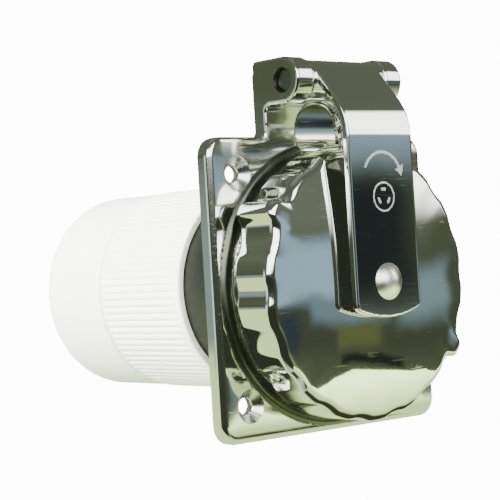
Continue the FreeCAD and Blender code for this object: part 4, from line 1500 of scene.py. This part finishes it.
@dataclass
class Studio:
    """Floor, surroundings, lights and camera."""

    floor_height: float = -100.0
    table_height: float = -50.0
    table_reach: float = 147.0
    camera_place: tuple[float, float, float] = (-355.84, -375.87, 11.24)
    azimuth: float = -41.158
    elevation: float = -0.068
    roll: float = -3.404
    lens: float = 118.05
    sensor: float = 36.0
    floor_half: float = 3000.0
    floor_flat: float = 1200.0
    floor_rise: float = 0.0004
    backdrop_glow: float = 14.0
    card_left: float = -38.0
    card_front: float = -12.0
    card_side: float = -60.0
    card_far: tuple[float, float, float] = (-420.0, 200.0, 400.0)
    shade_half: tuple[float, float] = (40.0, 9.0)
    shade_place: float = 22.0
    shade_soft: float = 4.0
    sun_span: tuple[float, float] = (-45.0, -100.0)

    def camera(self) -> None:
        """Sets the camera: azimuth 0 looks along +Y, and the roll turns it about its own axis."""
        a, e, r = (math.radians(v) for v in (self.azimuth, self.elevation, self.roll))
        back = Vector((math.sin(a) * math.cos(e), -math.cos(a) * math.cos(e), math.sin(e)))
        right = Vector((math.cos(a), math.sin(a), 0.0))
        up = back.cross(right)
        matrix = Matrix((math.cos(r) * right + math.sin(r) * up,
                         -math.sin(r) * right + math.cos(r) * up, back))
        data = bpy.data.cameras.new("view_camera")
        data.lens = self.lens
        data.sensor_width = self.sensor
        data.clip_start, data.clip_end = 0.01, 20.0
        camera = bpy.data.objects.new("view_camera", data)
        bpy.context.scene.collection.objects.link(camera)
        turn = matrix.transposed().to_4x4()
        camera.matrix_world = Matrix.Translation(Vector(self.camera_place) * MM) @ turn
        bpy.context.scene.camera = camera

    def sheet(self, name: str, points: np.ndarray, faces: np.ndarray,
              shader: Callable[[Graph], None]) -> bpy.types.Object:
        """A studio surface.

        Args:
            name: Name of the surface and of its material.
            points: Corners in millimetres.
            faces: Corner numbers.
            shader: Fills the material's graph.

        Returns:
            The surface.
        """
        mesh = bpy.data.meshes.new(name)
        mesh.from_pydata((points * MM).tolist(), [], faces.tolist())
        mesh.shade_smooth()
        surface = bpy.data.objects.new(name, mesh)
        bpy.context.scene.collection.objects.link(surface)
        material = bpy.data.materials.new(name)
        material.use_nodes = True
        shader(Graph(material.node_tree))
        mesh.materials.append(material)
        return surface

    def floor(self) -> None:
        """A pale floor that sweeps up far away.

        It is a square grid whose height grows with the square of its distance past the flat part.
        """
        count = 60
        share = np.linspace(-1, 1, count)
        x, y = np.meshgrid(share * self.floor_half, share * self.floor_half, indexing="ij")
        z = self.floor_height + self.floor_rise * np.maximum(np.hypot(x, y) - self.floor_flat, 0) ** 2
        points = np.stack([x, y, z], axis=-1).reshape(-1, 3)

        def paper(graph: Graph) -> None:
            """White paper that glows where the camera sees it.

            Args:
                graph: The material's graph.
            """
            matt = graph.add("BsdfPrincipled", {"Base Color": (0.9, 0.9, 0.88, 1), "Roughness": 0.9})
            glow = graph.add("Emission", {"Color": (1, 1, 1, 1), "Strength": self.backdrop_glow})
            seen = graph.add("LightPath").outputs["Is Camera Ray"]
            mixed = graph.add("MixShader", {0: seen, 1: matt.outputs[0], 2: glow.outputs[0]})
            graph.add("OutputMaterial", {"Surface": mixed.outputs[0]})

        floor = self.sheet("studio_floor", points, grid_faces(count, count, False, False)[:, ::-1], paper)
        floor.visible_glossy = False

    def table(self) -> None:
        """A cream card under the inlet that only the inlet sees, with a shadow under the cap.

        The card has no front left quarter. The shadow is a box whose edges fade.
        """
        toward, across = np.array([0.687, -0.726]), np.array([0.726, 0.687])
        front = toward * self.table_reach
        left, right, back = self.card_far
        corners = [(self.card_left, self.card_front), (self.card_left, self.card_side),
                   tuple(front - across * 30.0), tuple(front + across * 260), (right, back), (left, back),
                   (left, self.card_front)]
        points = np.array([[x, y, self.table_height] for x, y in corners])

        def cream(graph: Graph) -> None:
            """A cream glow, dark where the cap stands over it.

            Args:
                graph: The material's graph.
            """
            half_wide, half_deep = (half * MM for half in self.shade_half)
            near, far = (place * MM for place in self.sun_span)
            soft = self.shade_soft * MM
            place = graph.add("SeparateXYZ", {0: graph.add("TexCoord").outputs["Object"]}).outputs
            wide = graph.maths("SUBTRACT", graph.maths("ABSOLUTE", place["X"]), half_wide)
            back = graph.maths("ADD", place["Y"], self.shade_place * MM)
            deep = graph.maths("SUBTRACT", graph.maths("ABSOLUTE", back), half_deep)
            gap = graph.maths("SMOOTH_MAX", wide, deep, soft)
            light = graph.add("MapRange", {"Value": gap, "From Min": -soft, "From Max": soft,
                                           "To Min": 0.05, "To Max": 1.5}, interpolation_type="SMOOTHSTEP")
            sunlit = graph.add("MapRange", {"Value": place["Y"], "From Min": near, "From Max": far,
                                            "To Min": 1.0, "To Max": 3.0})
            strength = graph.maths("MULTIPLY", light.outputs["Result"], sunlit.outputs["Result"])
            glow = graph.add("Emission", {"Color": (0.80, 1.0, 0.46, 1), "Strength": strength})
            graph.add("OutputMaterial", {"Surface": glow.outputs[0]})

        card = self.sheet("table_card", points, np.array([list(range(len(corners)))]), cream)
        card.visible_camera = False
        card.visible_shadow = False

    def lamp(self, name: str, place: Sequence[float], size: tuple[float, float], power: float,
             tint: tuple[float, float, float] = (1, 1, 1)) -> None:
        """A soft box that points at the inlet and that the metal doesn't mirror.

        Args:
            name: Name of the light.
            place: Its place.
            size: Width and height.
            power: Power in watts.
            tint: Colour.
        """
        data = bpy.data.lights.new(name, "AREA")
        data.shape = "RECTANGLE"
        data.size, data.size_y = size[0] * MM, size[1] * MM
        data.energy = power
        data.color = tint
        light = bpy.data.objects.new(name, data)
        bpy.context.scene.collection.objects.link(light)
        where = Vector(place) * MM
        light.location = where
        light.rotation_mode = "QUATERNION"
        light.rotation_quaternion = (-where).to_track_quat("-Z", "Y")
        light.visible_glossy = False

    def surroundings(self) -> None:
        """The room that the polished metal mirrors, by direction.

        The azimuth is the angle from -Y towards +X and the elevation is the angle above the
        horizon, both bent a little by slow noise so that no edge is ruler-straight.
        """
        world = bpy.data.worlds.new("studio_room")
        bpy.context.scene.world = world
        world.use_nodes = True
        graph = Graph(world.node_tree)
        way = graph.add("TexCoord").outputs["Generated"]
        split = graph.add("SeparateXYZ", {"Vector": way}).outputs
        wobble = graph.add("TexNoise", {"Vector": way, "Scale": 7.0, "Detail": 2.0})
        shift = graph.add("SeparateXYZ", {"Vector": wobble.outputs["Color"]}).outputs
        azimuth = graph.maths("DEGREES", graph.maths("ARCTAN2", split["X"],
                                                     graph.maths("MULTIPLY", split["Y"], -1.0)))
        azimuth = graph.maths("ADD", azimuth, graph.maths("MULTIPLY_ADD", shift["X"], 5.0, -2.5))
        elevation = graph.maths("DEGREES", graph.maths("ARCSINE", split["Z"]))
        elevation = graph.maths("ADD", elevation, graph.maths("MULTIPLY_ADD", shift["Y"], 2.4, -1.2))
        colour = graph.ramp(graph.maths("MULTIPLY_ADD", elevation, 1 / 180, 0.5), [
            (0.0, (0.9, 1.0, 0.72)), (0.28, (0.8, 0.9, 0.62)), (0.40, (0.20, 0.24, 0.13)),
            (0.46, (0.06, 0.075, 0.045)), (0.53, (0.09, 0.11, 0.065)), (0.62, (0.15, 0.18, 0.12)),
            (0.80, (0.12, 0.13, 0.10)), (1.0, (0.30, 0.33, 0.28))])
        patch = patch_group()
        for part in ROOM:
            mask = graph.add("Group", node_tree=patch, label=part.what)
            sizes = (("Azimuth", azimuth), ("Elevation", elevation), ("Middle Azimuth", part.azimuth),
                     ("Middle Elevation", part.elevation), ("Half Width", part.half_width),
                     ("Half Height", part.half_height), ("Soft", part.soft))
            for key, value in sizes:
                if isinstance(value, Socket):
                    graph.tree.links.new(value, mask.inputs[key])
                else:
                    mask.inputs[key].default_value = value
            colour = graph.blend(mask.outputs["Mask"], colour, (*part.colour, 1))
        room = graph.add("Background", {"Color": colour, "Strength": 1.0})
        paper = graph.add("Background", {"Color": (1, 1, 1, 1), "Strength": self.backdrop_glow})
        seen = graph.add("LightPath").outputs["Is Camera Ray"]
        mixed = graph.add("MixShader", {0: seen, 1: room.outputs[0], 2: paper.outputs[0]})
        graph.add("OutputWorld", {"Surface": mixed.outputs[0]})

    def build(self) -> None:
        """Builds the studio."""
        self.camera()
        self.surroundings()
        self.floor()
        self.table()
        self.lamp("left_box", (-900, 250, 350), (900, 900), 84)
        self.lamp("front_box", (-450, -900, 500), (700, 700), 38)
        self.lamp("top_box", (0, 100, 1100), (900, 900), 22)


def main() -> None:
    """Builds every sub-assembly in order."""
    logging.basicConfig(level=logging.INFO, format="%(name)s: %(message)s")
    for assembly in (Flange(), Lid(), RearCover(), Contacts(), Studio()):
        assembly.build()


if __name__ == "__main__":
    main()
